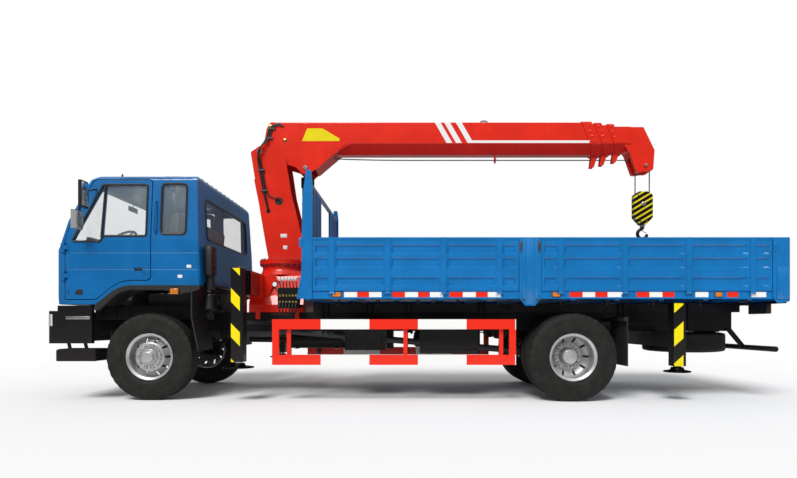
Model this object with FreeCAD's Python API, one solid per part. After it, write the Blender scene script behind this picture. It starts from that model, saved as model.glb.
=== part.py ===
"""Truck-mounted loader crane: a 4x2 cab-over truck with a dropside bed and a knee-type telescopic crane.

+X points forward, +Y to the vehicle's left and +Z up, in millimetres. The origin lies on the ground,
under the middle of the overall length and width. Each sub-part is written to its own STEP file, and
lengths along the truck are given as distances behind the front axle.
"""
import FreeCAD
import Part
import math
import os

Vector = FreeCAD.Vector

# ---- Driving dimensions: running gear ----
WHEELBASE = 5100
FRONT_OVERHANG = 1260
TYRE_RADIUS = 526
TYRE_WIDTH = 278
RIM_RADIUS = 262
FRONT_WHEEL_Y = 970          # wheel centre plane, front
REAR_OUTER_WHEEL_Y = 1090
TWIN_SPACING = 312
KINGPIN_Y = 850
KINGPIN_RADIUS = 22
SPINDLE_RADIUS = 42
PIN_CLEARANCE = 0.05         # radial play of pins in their eyes
SEAT_GAP = 0.3               # play between a piece and the seat it rests on
RUN_GAP = 6                  # air between pieces that move past each other

# ---- Driving dimensions: ladder frame ----
FRAME_HALF_WIDTH = 430
RAIL_TOP = 1080
RAIL_HEIGHT = 250
RAIL_FLANGE = 75
RAIL_PLATE = 8
RAIL_FRONT = -1180           # behind the front axle

# ---- Driving dimensions: cab ----
CAB_HALF_WIDTH = 1150
CAB_ROOF_HALF_WIDTH = 1085
CAB_NOSE = -1190             # behind the front axle
CAB_REAR = 640
CAB_FRONT_FLOOR_Z = 1160
CAB_ARCH_Z = 1390
CAB_BELT_Z = 1990
CAB_ROOF_Z = 2770
CAB_WALL = 42
GLASS_INSET = 14
GLASS_THICKNESS = 6
DOOR_FRONT = -1005
DOOR_REAR = 40
DOOR_GAP = 10
DOOR_SILL = 62               # the door's foot stands this far over the floor line
CAB_HINGE_BACK = -1100
CAB_HINGE_Z = 1130

# ---- Driving dimensions: bed ----
BED_HALF_WIDTH = 1235
BED_FRONT = 1870
BED_LENGTH = WHEELBASE + 680
DECK_TOP = 1310
DECK_THICKNESS = 30
CROSS_MEMBER_HEIGHT = 90
SIDE_RAIL_BOTTOM = 1222
GATE_TOP = 1950
GATE_THICKNESS = 40
GATE_HINGE_Z = 1290
CENTRE_POST_BACK = 4450
CENTRE_POST_WIDTH = 256
CORNER_POST_WIDTH = 200
HEADBOARD_TOP = 2610
HEADBOARD_POST_TOP = 2750

# ---- Driving dimensions: crane ----
SLEW_BACK = 1390
SLEW_RING_Z = 1770
SLEW_RING_RADIUS = 330
COLUMN_HALF_WIDTH = 205
COLUMN_PLATE = 18
BOOM_TOP_Z = 3695
BOOM_SIDE_Z = BOOM_TOP_Z - 290   # lower edge of the upright side plate
BOOM_BOTTOM_Z = BOOM_TOP_Z - 420
BOOM_HALF_WIDTH = 170
PIVOT_BACK = 1103
PIVOT_Z = BOOM_TOP_Z - 415
LIFT_PIN_BACK = 1719
LIFT_PIN_Z = BOOM_TOP_Z - 627
LIFT_FOOT_BACK = 1735
LIFT_FOOT_Z = 1985
BOOM_BOTTOM_HALF_WIDTH = 70
BOOM_PLATE = 8
SECTION_GAP = 7              # air between one boom section and the next
BOOM_MOUTH_BACK = 5690
COLLAR_PITCH = 170
HEAD_BACK = 6516
HEAD_SHEAVE_RADIUS = 100

# ---- Driving dimensions: outriggers and underrun ----
OUTRIGGER_BACK = 1095        # middle of the front stabiliser beam
BEAM_SIDE = 190
BEAM_Z = 1430
JACKET_SIDE = 150
JACKET_Y = 1125
JACKET_TOP = 1590
FOOT_Z = 395
JACKET_BOTTOM = FOOT_Z + 75
FOOT_RADIUS = 180
REAR_JACKET_BACK = WHEELBASE + 1270
REAR_JACKET_TOP = 1170
REAR_FOOT_Z = 345
REAR_JACKET_BOTTOM = REAR_FOOT_Z + 75
REAR_FOOT_RADIUS = 155
SPARE_BACK = REAR_JACKET_BACK + 609
SPARE_Z = 540

# ---- Worked out from the driving dimensions ----
BED_REAR = BED_FRONT + BED_LENGTH
RAIL_REAR = BED_REAR - 230
OVERALL_LENGTH = FRONT_OVERHANG + BED_REAR
FRONT_AXLE_X = OVERALL_LENGTH / 2 - FRONT_OVERHANG
AXLE_Z = TYRE_RADIUS
RAIL_BOTTOM = RAIL_TOP - RAIL_HEIGHT
DECK_BOTTOM = DECK_TOP - DECK_THICKNESS
CROSS_MEMBER_BOTTOM = DECK_BOTTOM - CROSS_MEMBER_HEIGHT


def x_at(behind):
    """X of a place given as its distance behind the front axle."""
    return FRONT_AXLE_X - behind


# ---- Shape helpers ----

def box(behind, y, z):
    """Block from (low, high) pairs: distance behind the front axle, y and z."""
    corner = Vector(x_at(max(behind)), min(y), min(z))
    return Part.makeBox(abs(behind[1] - behind[0]), abs(y[1] - y[0]), abs(z[1] - z[0]), corner)


def rod(start, end, radius):
    """Round bar between two points (behind, y, z)."""
    foot = Vector(x_at(start[0]), start[1], start[2])
    along = Vector(x_at(end[0]), end[1], end[2]) - foot
    return Part.makeCylinder(radius, along.Length, foot, along)


def cross_rod(behind, z, y, radius):
    """Round bar across the truck between the two y values."""
    return rod((behind, min(y), z), (behind, max(y), z), radius)


def rounded_wire(corners, place):
    """Closed wire through corners (a, b[, radius]); place turns a pair (a, b) into a point."""
    flat = [Vector(corner[0], corner[1], 0) for corner in corners]
    edges, first, last = [], None, None
    for index, corner in enumerate(corners):
        point = flat[index]
        radius = corner[2] if len(corner) > 2 else 0
        if radius:
            to_last = (flat[index - 1] - point).normalize()
            to_next = (flat[(index + 1) % len(flat)] - point).normalize()
            half = to_last.getAngle(to_next) / 2
            start = point + to_last * (radius / math.tan(half))
            end = point + to_next * (radius / math.tan(half))
            centre = point + (to_last + to_next).normalize() * (radius / math.sin(half))
            middle = centre + (point - centre).normalize() * radius
        else:
            start = end = point
        if last is not None and (start - last).Length > 1e-6:
            edges.append(Part.LineSegment(place(last), place(start)).toShape())
        if radius:
            edges.append(Part.Arc(place(start), place(middle), place(end)).toShape())
        first = first or start
        last = end
    if (first - last).Length > 1e-6:
        edges.append(Part.LineSegment(place(last), place(first)).toShape())
    return Part.Wire(edges)


def side_face(corners, y=0):
    """Face in the truck's side view; corners are (behind, z[, radius])."""
    return Part.Face(rounded_wire(corners, lambda p: Vector(x_at(p.x), y, p.y)))


def side_prism(corners, y):
    """Side-view outline carried across from y[0] to y[1]."""
    return side_face(corners, min(y)).extrude(Vector(0, abs(y[1] - y[0]), 0))


def front_prism(corners, behind):
    """Front-view outline (y, z[, radius]) carried along the truck."""
    face = Part.Face(rounded_wire(corners, lambda p: Vector(x_at(max(behind)), p.x, p.y)))
    return face.extrude(Vector(abs(behind[1] - behind[0]), 0, 0))


def plan_prism(corners, z):
    """Plan-view outline (behind, y[, radius]) carried up from z[0] to z[1]."""
    face = Part.Face(rounded_wire(corners, lambda p: Vector(x_at(p.x), p.y, min(z))))
    return face.extrude(Vector(0, 0, abs(z[1] - z[0])))


def turned_across(profile, behind, z):
    """Profile (y, radius[, corner radius]) turned about a line across the truck."""
    face = Part.Face(rounded_wire(profile, lambda p: Vector(x_at(behind), p.x, z + p.y)))
    return face.revolve(Vector(x_at(behind), 0, z), Vector(0, 1, 0), 360)


def turned_upright(profile, behind, y):
    """Profile (z, radius[, corner radius]) turned about an upright line."""
    face = Part.Face(rounded_wire(profile, lambda p: Vector(x_at(behind) + p.y, y, p.x)))
    return face.revolve(Vector(x_at(behind), y, 0), Vector(0, 0, 1), 360)


def mirrored(shape):
    """The same shape on the other side of the truck."""
    return shape.mirror(Vector(0, 0, 0), Vector(0, 1, 0))


def both_sides(shape):
    return Part.makeCompound([shape, mirrored(shape)])


def fused(shapes):
    """Pieces joined to one, with coplanar faces merged."""
    shapes = list(shapes)
    joined = shapes[0].multiFuse(shapes[1:]) if len(shapes) > 1 else shapes[0]
    merged = joined.removeSplitter()
    return merged if all(solid.isValid() for solid in merged.Solids) else joined


def less(shape, tools):
    """The shape with the tools cut out."""
    return shape.cut(list(tools))


def spread(low, high, count):
    """count evenly spaced values from low to high, both included."""
    return [low + (high - low) * index / (count - 1) for index in range(count)]


def save(name, *shapes):
    """Write the solids of a sub-part to its STEP file."""
    solids = [solid for shape in shapes for solid in shape.Solids]
    for solid in solids:
        if not solid.isValid() or solid.Volume <= 0:
            raise ValueError(f"{name} has a solid that isn't sound")
    whole = solids[0] if len(solids) == 1 else Part.makeCompound(solids)
    whole.exportStep(f"parts/{name}.step")
    print(f"{name}: {len(solids)} solid(s), {sum(solid.Volume for solid in solids) / 1e6:.1f} litres")


# ---- Ladder frame ----

CROSS_MEMBERS = (-900, 1500, 2200, 2900, WHEELBASE - 1200, WHEELBASE - 600, WHEELBASE + 650, WHEELBASE + 1600,
                 RAIL_REAR - 70)
CROSS_MEMBER_DEPTH = 60


def rail():
    """Left rail: a channel that opens inwards."""
    outer, inner = FRAME_HALF_WIDTH, FRAME_HALF_WIDTH - RAIL_FLANGE
    web = outer - RAIL_PLATE
    low, high = RAIL_BOTTOM + RAIL_PLATE, RAIL_TOP - RAIL_PLATE
    profile = [(outer, RAIL_BOTTOM), (outer, RAIL_TOP), (inner, RAIL_TOP), (inner, high),
               (web, high), (web, low), (inner, low), (inner, RAIL_BOTTOM)]
    return front_prism(profile, (RAIL_FRONT, RAIL_REAR))


def chassis_frame():
    web = FRAME_HALF_WIDTH - RAIL_PLATE
    pieces = [rail(), mirrored(rail())]
    for behind in CROSS_MEMBERS:
        span = (behind - CROSS_MEMBER_DEPTH / 2, behind + CROSS_MEMBER_DEPTH / 2)
        tube = box(span, (-web, web), (RAIL_BOTTOM + 60, RAIL_TOP - 40))
        hollow = box((span[0] + RAIL_PLATE, span[1] - RAIL_PLATE), (-web, web),
                     (RAIL_BOTTOM + 60 + RAIL_PLATE, RAIL_TOP - 40 - RAIL_PLATE))
        pieces.append(tube.cut(hollow))
    pieces += engine_mounts() + cab_rest() + cab_hinge_brackets() + spring_hangers() + spare_carrier()
    return fused(pieces)


# ---- Engine and driveline ----

ENGINE_FRONT, ENGINE_REAR = -370, 700
ENGINE_HALF_WIDTH = 300
ENGINE_BOTTOM, ENGINE_TOP = 740, 1330
GEARBOX_REAR = 1300
GEARBOX_HALF_WIDTH = 170
PROPSHAFT_RADIUS = 45
PROPSHAFT_FRONT_Z = 840
PROPSHAFT_FLANGE_RADIUS = 65
DIFFERENTIAL_NOSE = WHEELBASE - 420


def engine_mounts():
    """Brackets from the rails to the engine's sides."""
    web = FRAME_HALF_WIDTH - RAIL_PLATE
    mounts = []
    for behind in (ENGINE_FRONT + 200, ENGINE_REAR - 200):
        arm = box((behind - 40, behind + 40), (ENGINE_HALF_WIDTH, web), (900, 980))
        mounts += [arm, mirrored(arm)]
    return mounts


def engine_block():
    return box((ENGINE_FRONT, ENGINE_REAR), (-ENGINE_HALF_WIDTH, ENGINE_HALF_WIDTH),
               (ENGINE_BOTTOM, ENGINE_TOP))


def driveline():
    """Gearbox behind the engine, and the propeller shaft down to the rear axle."""
    gearbox = front_prism([(-GEARBOX_HALF_WIDTH, 750, 60), (GEARBOX_HALF_WIDTH, 750, 60),
                           (GEARBOX_HALF_WIDTH, 1060, 90), (-GEARBOX_HALF_WIDTH, 1060, 90)],
                          (ENGINE_REAR, GEARBOX_REAR))
    end = DIFFERENTIAL_NOSE - SEAT_GAP
    shaft = rod((GEARBOX_REAR - 20, 0, PROPSHAFT_FRONT_Z), (end - 50, 0, AXLE_Z + 30), PROPSHAFT_RADIUS)
    yokes = [rod((GEARBOX_REAR - 20, 0, PROPSHAFT_FRONT_Z), (GEARBOX_REAR + 90, 0, PROPSHAFT_FRONT_Z), 70),
             rod((end - 90, 0, AXLE_Z + 30), (end, 0, AXLE_Z + 30), PROPSHAFT_FLANGE_RADIUS)]
    return fused([gearbox, shaft] + yokes)


# ---- Springs and axles ----

FRONT_SPRING_Y = 395
REAR_SPRING_Y = 395
SPRING_WIDTH = 80
FRONT_SPRING_HALF = 700
REAR_SPRING_HALF = 780
SPRING_EYE_Z = 770
FRONT_SPRING_SEAT_Z = AXLE_Z + 50
REAR_SPRING_SEAT_Z = AXLE_Z + 80
FRONT_PACK = 60
REAR_PACK = 110
SPRING_EYE_RADIUS = 34
HANGER_WIDTH = 100


def spring_pack(middle, half, seat_z, pack, y):
    """Stack of bowed leaves, each shorter than the one above it, with rolled eyes at both ends."""
    rise = SPRING_EYE_Z - seat_z - pack
    bow = (half * half + rise * rise) / (2 * rise)
    centre = Vector(x_at(middle), 0, seat_z + pack + bow)
    leaves, count = [], 4
    thickness = pack / count
    for index in range(count):
        reach = math.asin(half / bow) * (1 - 0.2 * index)
        radii = (bow + thickness * index, bow + thickness * (index + 1))
        ends = [[centre + Vector(r * math.sin(a), 0, -r * math.cos(a)) for a in (-reach, 0, reach)]
                for r in radii]
        edges = [Part.Arc(*ends[0]).toShape(), Part.LineSegment(ends[0][2], ends[1][2]).toShape(),
                 Part.Arc(*ends[1][::-1]).toShape(), Part.LineSegment(ends[1][0], ends[0][0]).toShape()]
        leaf = Part.Face(Part.Wire(edges)).extrude(Vector(0, SPRING_WIDTH, 0))
        leaf.translate(Vector(0, y - SPRING_WIDTH / 2, 0))
        leaves.append(leaf)
    across = (y - SPRING_WIDTH / 2, y + SPRING_WIDTH / 2)
    eyes = [cross_rod(middle + end * half, SPRING_EYE_Z, across, SPRING_EYE_RADIUS) for end in (-1, 1)]
    clamp = box((middle - 60, middle + 60), (across[0] - 12, across[1] + 12), (seat_z, seat_z + pack + 20))
    return fused(leaves + eyes + [clamp])


def leaf_springs():
    front = spring_pack(0, FRONT_SPRING_HALF, FRONT_SPRING_SEAT_Z, FRONT_PACK, FRONT_SPRING_Y)
    rear = spring_pack(WHEELBASE, REAR_SPRING_HALF, REAR_SPRING_SEAT_Z, REAR_PACK, REAR_SPRING_Y)
    return [front, mirrored(front), rear, mirrored(rear)]


def spring_hangers():
    """Cheeks under the rails on both sides of each spring eye."""
    hangers = []
    for middle, half in ((0, FRONT_SPRING_HALF), (WHEELBASE, REAR_SPRING_HALF)):
        for end in (-1, 1):
            behind = middle + end * half
            outline = [(behind - 70, RAIL_BOTTOM + 40), (behind + 70, RAIL_BOTTOM + 40),
                       (behind + 40, SPRING_EYE_Z - 40, 30), (behind - 40, SPRING_EYE_Z - 40, 30)]
            outer_y = FRONT_SPRING_Y + SPRING_WIDTH / 2 + SEAT_GAP
            outer = side_prism(outline, (outer_y, outer_y + 12))
            inner_y = FRONT_SPRING_Y - SPRING_WIDTH / 2 - SEAT_GAP
            short = [(behind - 70, RAIL_BOTTOM + RAIL_PLATE)] + [(behind + 70, RAIL_BOTTOM + RAIL_PLATE)]
            inner = side_prism(short + outline[2:], (inner_y - 12, inner_y))
            bridge = box((behind - 60, behind + 60), (inner_y - 12, outer_y + 12),
                         (RAIL_BOTTOM - 10, RAIL_BOTTOM))
            hangers += [outer, inner, bridge]
    return hangers + [mirrored(piece) for piece in hangers]


AXLE_EYE_RADIUS = 48
AXLE_EYE_HALF = 60
FRONT_BEAM_HALF_HEIGHT = 50


def front_axle():
    """Forged I-beam with an upright eye for the kingpin at each end."""
    top, bottom = AXLE_Z + FRONT_BEAM_HALF_HEIGHT, AXLE_Z - FRONT_BEAM_HALF_HEIGHT
    beam = box((-45, 45), (-KINGPIN_Y, KINGPIN_Y), (bottom, top))
    for side in (-1, 1):
        beam = beam.cut(box((side * 15, side * 46), (-700, 700), (bottom + 16, top - 16)))
    eyes = [Part.makeCylinder(AXLE_EYE_RADIUS, 2 * AXLE_EYE_HALF,
                              Vector(x_at(0), side * KINGPIN_Y, AXLE_Z - AXLE_EYE_HALF))
            for side in (-1, 1)]
    holes = [Part.makeCylinder(KINGPIN_RADIUS + PIN_CLEARANCE, 4 * AXLE_EYE_HALF,
                               Vector(x_at(0), side * KINGPIN_Y, AXLE_Z - 2 * AXLE_EYE_HALF))
             for side in (-1, 1)]
    return less(fused([beam] + eyes), holes)


REAR_TUBE_RADIUS = 76
DIFFERENTIAL_RADIUS = 215
REAR_SPINDLE_RADIUS = 50
REAR_HUB_INNER_Y = 690


def rear_axle():
    """Banjo housing with the differential, brake back plates and a spindle at each end."""
    spindle_end = REAR_OUTER_WHEEL_Y - 40
    housing = turned_across([(-REAR_HUB_INNER_Y, 0), (-REAR_HUB_INNER_Y, REAR_TUBE_RADIUS),
                             (-310, REAR_TUBE_RADIUS, 60), (-180, DIFFERENTIAL_RADIUS, 60),
                             (180, DIFFERENTIAL_RADIUS, 60), (310, REAR_TUBE_RADIUS, 60),
                             (REAR_HUB_INNER_Y, REAR_TUBE_RADIUS), (REAR_HUB_INNER_Y, 0)], WHEELBASE, AXLE_Z)
    spindles = cross_rod(WHEELBASE, AXLE_Z, (-spindle_end, spindle_end), REAR_SPINDLE_RADIUS)
    nose = rod((DIFFERENTIAL_NOSE, 0, AXLE_Z + 30), (WHEELBASE, 0, AXLE_Z + 30), 100)
    plates = [cross_rod(WHEELBASE, AXLE_Z, (side * 560, side * 575), 190) for side in (-1, 1)]
    seats = [box((WHEELBASE - 60, WHEELBASE + 60), (side * 345, side * 445), (AXLE_Z, REAR_SPRING_SEAT_Z))
             for side in (-1, 1)]
    return fused([housing, spindles, nose] + plates + seats)


# ---- Steering knuckles and wheels ----

KNUCKLE_LUG = 38
KNUCKLE_CAP_RADIUS = 50
SPINDLE_END_Y = FRONT_WHEEL_Y + 75
BACKPLATE_Y = 925


def knuckle():
    """Left knuckle: a fork round the axle's eye with the kingpin, the stub axle and the steering arm."""
    gap_half = AXLE_EYE_HALF + 5
    lug_top = gap_half + KNUCKLE_LUG
    pin = Part.makeCylinder(KINGPIN_RADIUS, 2 * lug_top, Vector(x_at(0), KINGPIN_Y, AXLE_Z - lug_top))
    lugs = [Part.makeCylinder(KNUCKLE_CAP_RADIUS, KNUCKLE_LUG, Vector(x_at(0), KINGPIN_Y, AXLE_Z + low))
            for low in (-lug_top, gap_half)]
    web_y = KINGPIN_Y + AXLE_EYE_RADIUS + 7
    web = box((-48, 48), (web_y, BACKPLATE_Y), (AXLE_Z - lug_top, AXLE_Z + lug_top))
    arms = [box((-40, 40), (KINGPIN_Y, web_y), (AXLE_Z + low, AXLE_Z + low + KNUCKLE_LUG))
            for low in (-lug_top, gap_half)]
    spindle = cross_rod(0, AXLE_Z, (BACKPLATE_Y, SPINDLE_END_Y), SPINDLE_RADIUS)
    plate = cross_rod(0, AXLE_Z, (BACKPLATE_Y - 12, BACKPLATE_Y), 185)
    track_arm = plan_prism([(0, KINGPIN_Y - 40, 10), (0, KINGPIN_Y + 30, 10), (190, KINGPIN_Y - 35, 15),
                            (190, KINGPIN_Y - 85, 15)], (AXLE_Z - lug_top, AXLE_Z - lug_top + 28))
    return fused([pin, web, spindle, plate, track_arm] + lugs + arms)


BEAD_HALF = 105
RIM_HALF = 118
RIM_LIP = 22


def tyre(plane_y, behind, z):
    """Bellied tyre ring on its rim seat, about a line across the truck."""
    half, tread = TYRE_WIDTH / 2, TYRE_WIDTH / 2 - 26
    lip = RIM_RADIUS + RIM_LIP
    outer_side = [(BEAD_HALF + 1, lip), (RIM_HALF + 2, lip + 6), (half, RIM_RADIUS + 110, 70),
                  (tread, TYRE_RADIUS, 26)]
    profile = [(plane_y + BEAD_HALF, RIM_RADIUS)]
    profile += [(plane_y + point[0],) + tuple(point[1:]) for point in outer_side]
    profile += [(plane_y - point[0],) + tuple(point[1:]) for point in outer_side[::-1]]
    profile += [(plane_y - BEAD_HALF, RIM_RADIUS)]
    return turned_across(profile, behind, z)


RIM_PLATE = 10
HUB_FIT = 0.05
WHEEL_SLOTS = 10


def rim_ring(plane_y, outward):
    """Profile points (y, radius) of the rim's outer skin; the bead seats carry the tyre."""
    lip = RIM_RADIUS + RIM_LIP
    right = [(RIM_HALF, lip - 8), (RIM_HALF, lip), (BEAD_HALF + 1, lip), (BEAD_HALF, RIM_RADIUS)]
    points = [(-y, radius) for y, radius in right] + right[::-1]
    points += [(BEAD_HALF - 5, RIM_RADIUS - RIM_PLATE), (5 - BEAD_HALF, RIM_RADIUS - RIM_PLATE)]
    return [(plane_y + outward * y, radius) for y, radius in points]


def slots(y, radius, count):
    """Hand holes round the disc."""
    holes = []
    for index in range(count):
        angle = 2 * math.pi * (index + 0.5) / count
        hole = Part.makeBox(26, abs(y[1] - y[0]), 60, Vector(-13, min(y), radius - 30))
        hole.rotate(Vector(0, 0, 0), Vector(0, 1, 0), math.degrees(angle))
        holes.append(hole)
    return holes


def wheel_nuts(y, radius, count, size=15):
    nuts = []
    for index in range(count):
        angle = 2 * math.pi * index / count
        centre = Vector(radius * math.sin(angle), min(y), radius * math.cos(angle))
        nuts.append(Part.makeCylinder(size, abs(y[1] - y[0]), centre, Vector(0, 1, 0)))
    return nuts


def put_on_axle(shape, behind):
    """Move a shape made about the Y axis onto the wheel axis."""
    moved = shape.copy()
    moved.translate(Vector(x_at(behind), 0, AXLE_Z))
    return moved


def front_rim():
    """Left front wheel: the disc domes outwards, with the hub and its cap in the middle."""
    plane = FRONT_WHEEL_Y
    disc_y = plane + 85
    ring = turned_across(rim_ring(plane, 1), 0, AXLE_Z)
    disc = [(disc_y - 90, 250), (disc_y - 50, 215, 30), (disc_y + 20, 170, 20), (disc_y + 20, 80),
            (disc_y + 8, 80), (disc_y + 8, 165, 18), (disc_y - 62, 205, 30), (disc_y - 102, 250), (disc_y - 102, 256),
            (disc_y - 90, 256)]
    disc = turned_across(disc, 0, AXLE_Z)
    disc = disc.cut([put_on_axle(hole, 0) for hole in slots((disc_y - 120, disc_y + 40), 205, WHEEL_SLOTS)])
    bore = SPINDLE_RADIUS + HUB_FIT
    hub = turned_across([(BACKPLATE_Y + 8, bore), (BACKPLATE_Y + 8, 150), (disc_y - 30, 150), (disc_y - 30, 100),
                         (disc_y + 45, 88, 6), (disc_y + 45, 70), (disc_y + 85, 62, 14), (disc_y + 85, 0),
                         (disc_y + 30, 0), (disc_y + 30, bore)], 0, AXLE_Z)
    nuts = [put_on_axle(nut, 0) for nut in wheel_nuts((disc_y + 18, disc_y + 42), 130, 10)]
    return fused([ring, disc, hub] + nuts)


def rear_rims():
    """Left twin wheels: two dished discs back to back on one hub."""
    outer, inner = REAR_OUTER_WHEEL_Y, REAR_OUTER_WHEEL_Y - TWIN_SPACING
    meet = (outer + inner) / 2
    pieces = [turned_across(rim_ring(outer, 1), WHEELBASE, AXLE_Z),
              turned_across(rim_ring(inner, -1), WHEELBASE, AXLE_Z)]
    for side in (-1, 1):
        disc = [(meet, 80), (meet + side * 12, 80), (meet + side * 12, 165, 18), (meet + side * 70, 235, 40),
                (meet + side * 90, 252), (meet + side * 90, 258), (meet + side * 70, 258), (meet + side * 52, 240, 40),
                (meet, 180, 20)]
        disc = turned_across(disc, WHEELBASE, AXLE_Z)
        holes = slots((meet + side * 5, meet + side * 95), 212, WHEEL_SLOTS)
        pieces.append(disc.cut([put_on_axle(hole, WHEELBASE) for hole in holes]))
    bore = REAR_SPINDLE_RADIUS + HUB_FIT
    hub = turned_across([(REAR_HUB_INNER_Y + 8, bore), (REAR_HUB_INNER_Y + 8, 200), (meet - 60, 200, 10),
                         (meet - 20, 150), (meet + 20, 100), (meet + 60, 100), (meet + 140, 85, 10),
                         (meet + 140, 0), (meet + 122, 0), (meet + 122, bore)], WHEELBASE, AXLE_Z)
    nuts = [put_on_axle(nut, WHEELBASE) for nut in wheel_nuts((meet + 10, meet + 42), 140, 10)]
    return fused(pieces + [hub] + nuts)


def spare_carrier():
    """Flat bars under the rails that the spare is drawn up against."""
    top = SPARE_Z + TYRE_WIDTH + SEAT_GAP
    return [box((behind - 30, behind + 30), (-FRAME_HALF_WIDTH, FRAME_HALF_WIDTH), (top, RAIL_BOTTOM))
            for behind in (SPARE_BACK - 250, SPARE_BACK + 250)]


def spare_wheel():
    """Spare lying flat under the tail, hung from the frame on its winch plate."""
    flat = tyre(0, FRONT_AXLE_X, 0)
    half = TYRE_WIDTH / 2
    ring = Part.Face(rounded_wire(rim_ring(0, 1), lambda p: Vector(0, p.x, p.y))).revolve(
        Vector(0, 0, 0), Vector(0, 1, 0), 360)
    disc = Part.makeCylinder(255, 14, Vector(0, -20, 0), Vector(0, 1, 0))
    whole = []
    for piece in (flat, fused([ring, disc])):
        piece.rotate(Vector(0, 0, 0), Vector(1, 0, 0), 90)
        piece.translate(Vector(x_at(SPARE_BACK), 0, SPARE_Z + half))
        whole.append(piece)
    return whole


# ---- Cab ----

ARCH_START = -620            # the floor line starts to rise here
ARCH_END = -330
ARCH_FILLET = 420
WINDSCREEN_FOOT = (-1100, 1860)
WINDSCREEN_HEAD = (-700, 2665)


def cab_side_outline():
    return [(CAB_NOSE + 70, CAB_FRONT_FLOOR_Z, 30), (CAB_NOSE, CAB_FRONT_FLOOR_Z + 340, 200),
            (CAB_NOSE, 1765, 15), WINDSCREEN_FOOT + (20,), WINDSCREEN_HEAD + (90,),
            (-560, CAB_ROOF_Z - 35, 150), (-100, CAB_ROOF_Z, 500), (CAB_REAR - 60, CAB_ROOF_Z - 20, 90),
            (CAB_REAR, CAB_ARCH_Z, 20), (ARCH_END, CAB_ARCH_Z, ARCH_FILLET), (ARCH_START, CAB_FRONT_FLOOR_Z, 120)]


def cab_front_outline():
    half, roof = CAB_HALF_WIDTH, CAB_ROOF_HALF_WIDTH
    left = [(half - 25, CAB_FRONT_FLOOR_Z - 80), (half, 1560, 400), (half, CAB_BELT_Z - 60, 300),
            (roof, CAB_ROOF_Z - 60, 70), (roof - 300, CAB_ROOF_Z + 5, 600)]
    return left + [(-corner[0],) + tuple(corner[1:]) for corner in left[::-1]]


def cab_plan_outline():
    half = CAB_HALF_WIDTH + 6
    return [(CAB_REAR, half, 60), (-900, half, 300), (CAB_NOSE + 30, half - 130, 130), (CAB_NOSE - 25, 0, 3000),
            (CAB_NOSE + 30, 130 - half, 130), (-900, -half, 300), (CAB_REAR, -half, 60)]


def inset_prism(face, inset, carry):
    """A flat outline shrunk by an inset, then carried along a vector."""
    if inset:
        face = face.makeOffset2D(-inset).Faces[0]
    return face.extrude(carry)


def cab_body(inset):
    """The cab's full form, shrunk by an inset: where its side, front and plan outlines meet."""
    low, high = CAB_FRONT_FLOOR_Z - 100, CAB_ROOF_Z + 100
    side = side_face(cab_side_outline(), -CAB_HALF_WIDTH - 50)
    front = Part.Face(rounded_wire(cab_front_outline(), lambda p: Vector(x_at(CAB_REAR + 50), p.x, p.y)))
    plan = Part.Face(rounded_wire(cab_plan_outline(), lambda p: Vector(x_at(p.x), p.y, low)))
    form = inset_prism(side, inset, Vector(0, 2 * CAB_HALF_WIDTH + 100, 0))
    form = form.common(inset_prism(plan, inset, Vector(0, 0, high - low)))
    return form.common(inset_prism(front, inset, Vector(CAB_REAR - CAB_NOSE + 150, 0, 0)))


def door_outline(gap):
    """The door's edge in side view, grown by a gap; its foot follows the floor line and the arch."""
    front, rear = DOOR_FRONT - gap, DOOR_REAR + gap
    top, rise = 2665 + gap, DOOR_SILL - gap
    slope = (WINDSCREEN_HEAD[0] - WINDSCREEN_FOOT[0]) / (WINDSCREEN_HEAD[1] - WINDSCREEN_FOOT[1])
    lean_z = CAB_BELT_Z - 50
    lean_top = front + slope * (top - lean_z) - 10
    return [(front, CAB_FRONT_FLOOR_Z + rise, 15), (front, lean_z, 60), (lean_top, top, 60), (rear, top, 50),
            (rear, CAB_ARCH_Z + rise, 60), (ARCH_END, CAB_ARCH_Z + rise, ARCH_FILLET),
            (ARCH_START, CAB_FRONT_FLOOR_Z + rise, 120)]


def door_window_outline(grow=0):
    return [(-885 - grow, 1925 - grow, 20), (-540 - grow, 2600 + grow, 45), (-20 + grow, 2600 + grow, 35),
            (-20 + grow, CAB_BELT_Z - grow, 30), (-520, CAB_BELT_Z - grow, 20), (-560, 1925 - grow, 20)]


def quarter_bar_outline():
    """The bar between the quarter light and the main pane; its ends run into the door's frame."""
    return [(-557, 1905), (-530, 2620), (-512, 2620), (-537, 1905)]


def side_window_outline(grow=0):
    return [(170 - grow, 2010 - grow, 50), (170 - grow, 2610 + grow, 50), (455 + grow, 2610 + grow, 50),
            (455 + grow, 2010 - grow, 50)]


def windscreen_outline(grow=0):
    return [(-1010 - grow, 1935 - grow, 70), (-940 - grow, 2600 + grow, 80), (940 + grow, 2600 + grow, 80),
            (1010 + grow, 1935 - grow, 70)]


def rear_window_outline(grow=0):
    return [(-850 - grow, 1990 - grow, 80), (-850 - grow, 2480 + grow, 80), (850 + grow, 2480 + grow, 80),
            (850 + grow, 1990 - grow, 80)]


SIDE_REACH = (CAB_ROOF_HALF_WIDTH - 75, CAB_HALF_WIDTH + 50)
FRONT_REACH = (CAB_NOSE - 50, -400)
REAR_REACH = (400, CAB_REAR + 50)
GRILLE_HALF_WIDTH = 620
GRILLE_Z = (1340, 1640)


def grille_outline():
    low, high = GRILLE_Z
    return [(-GRILLE_HALF_WIDTH, low, 25), (-GRILLE_HALF_WIDTH, high, 25), (GRILLE_HALF_WIDTH, high, 25),
            (GRILLE_HALF_WIDTH, low, 25)]


def cab_layer(outer, inner):
    """Skin of the cab between two insets."""
    return cab_body(outer).cut(cab_body(inner))


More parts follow.
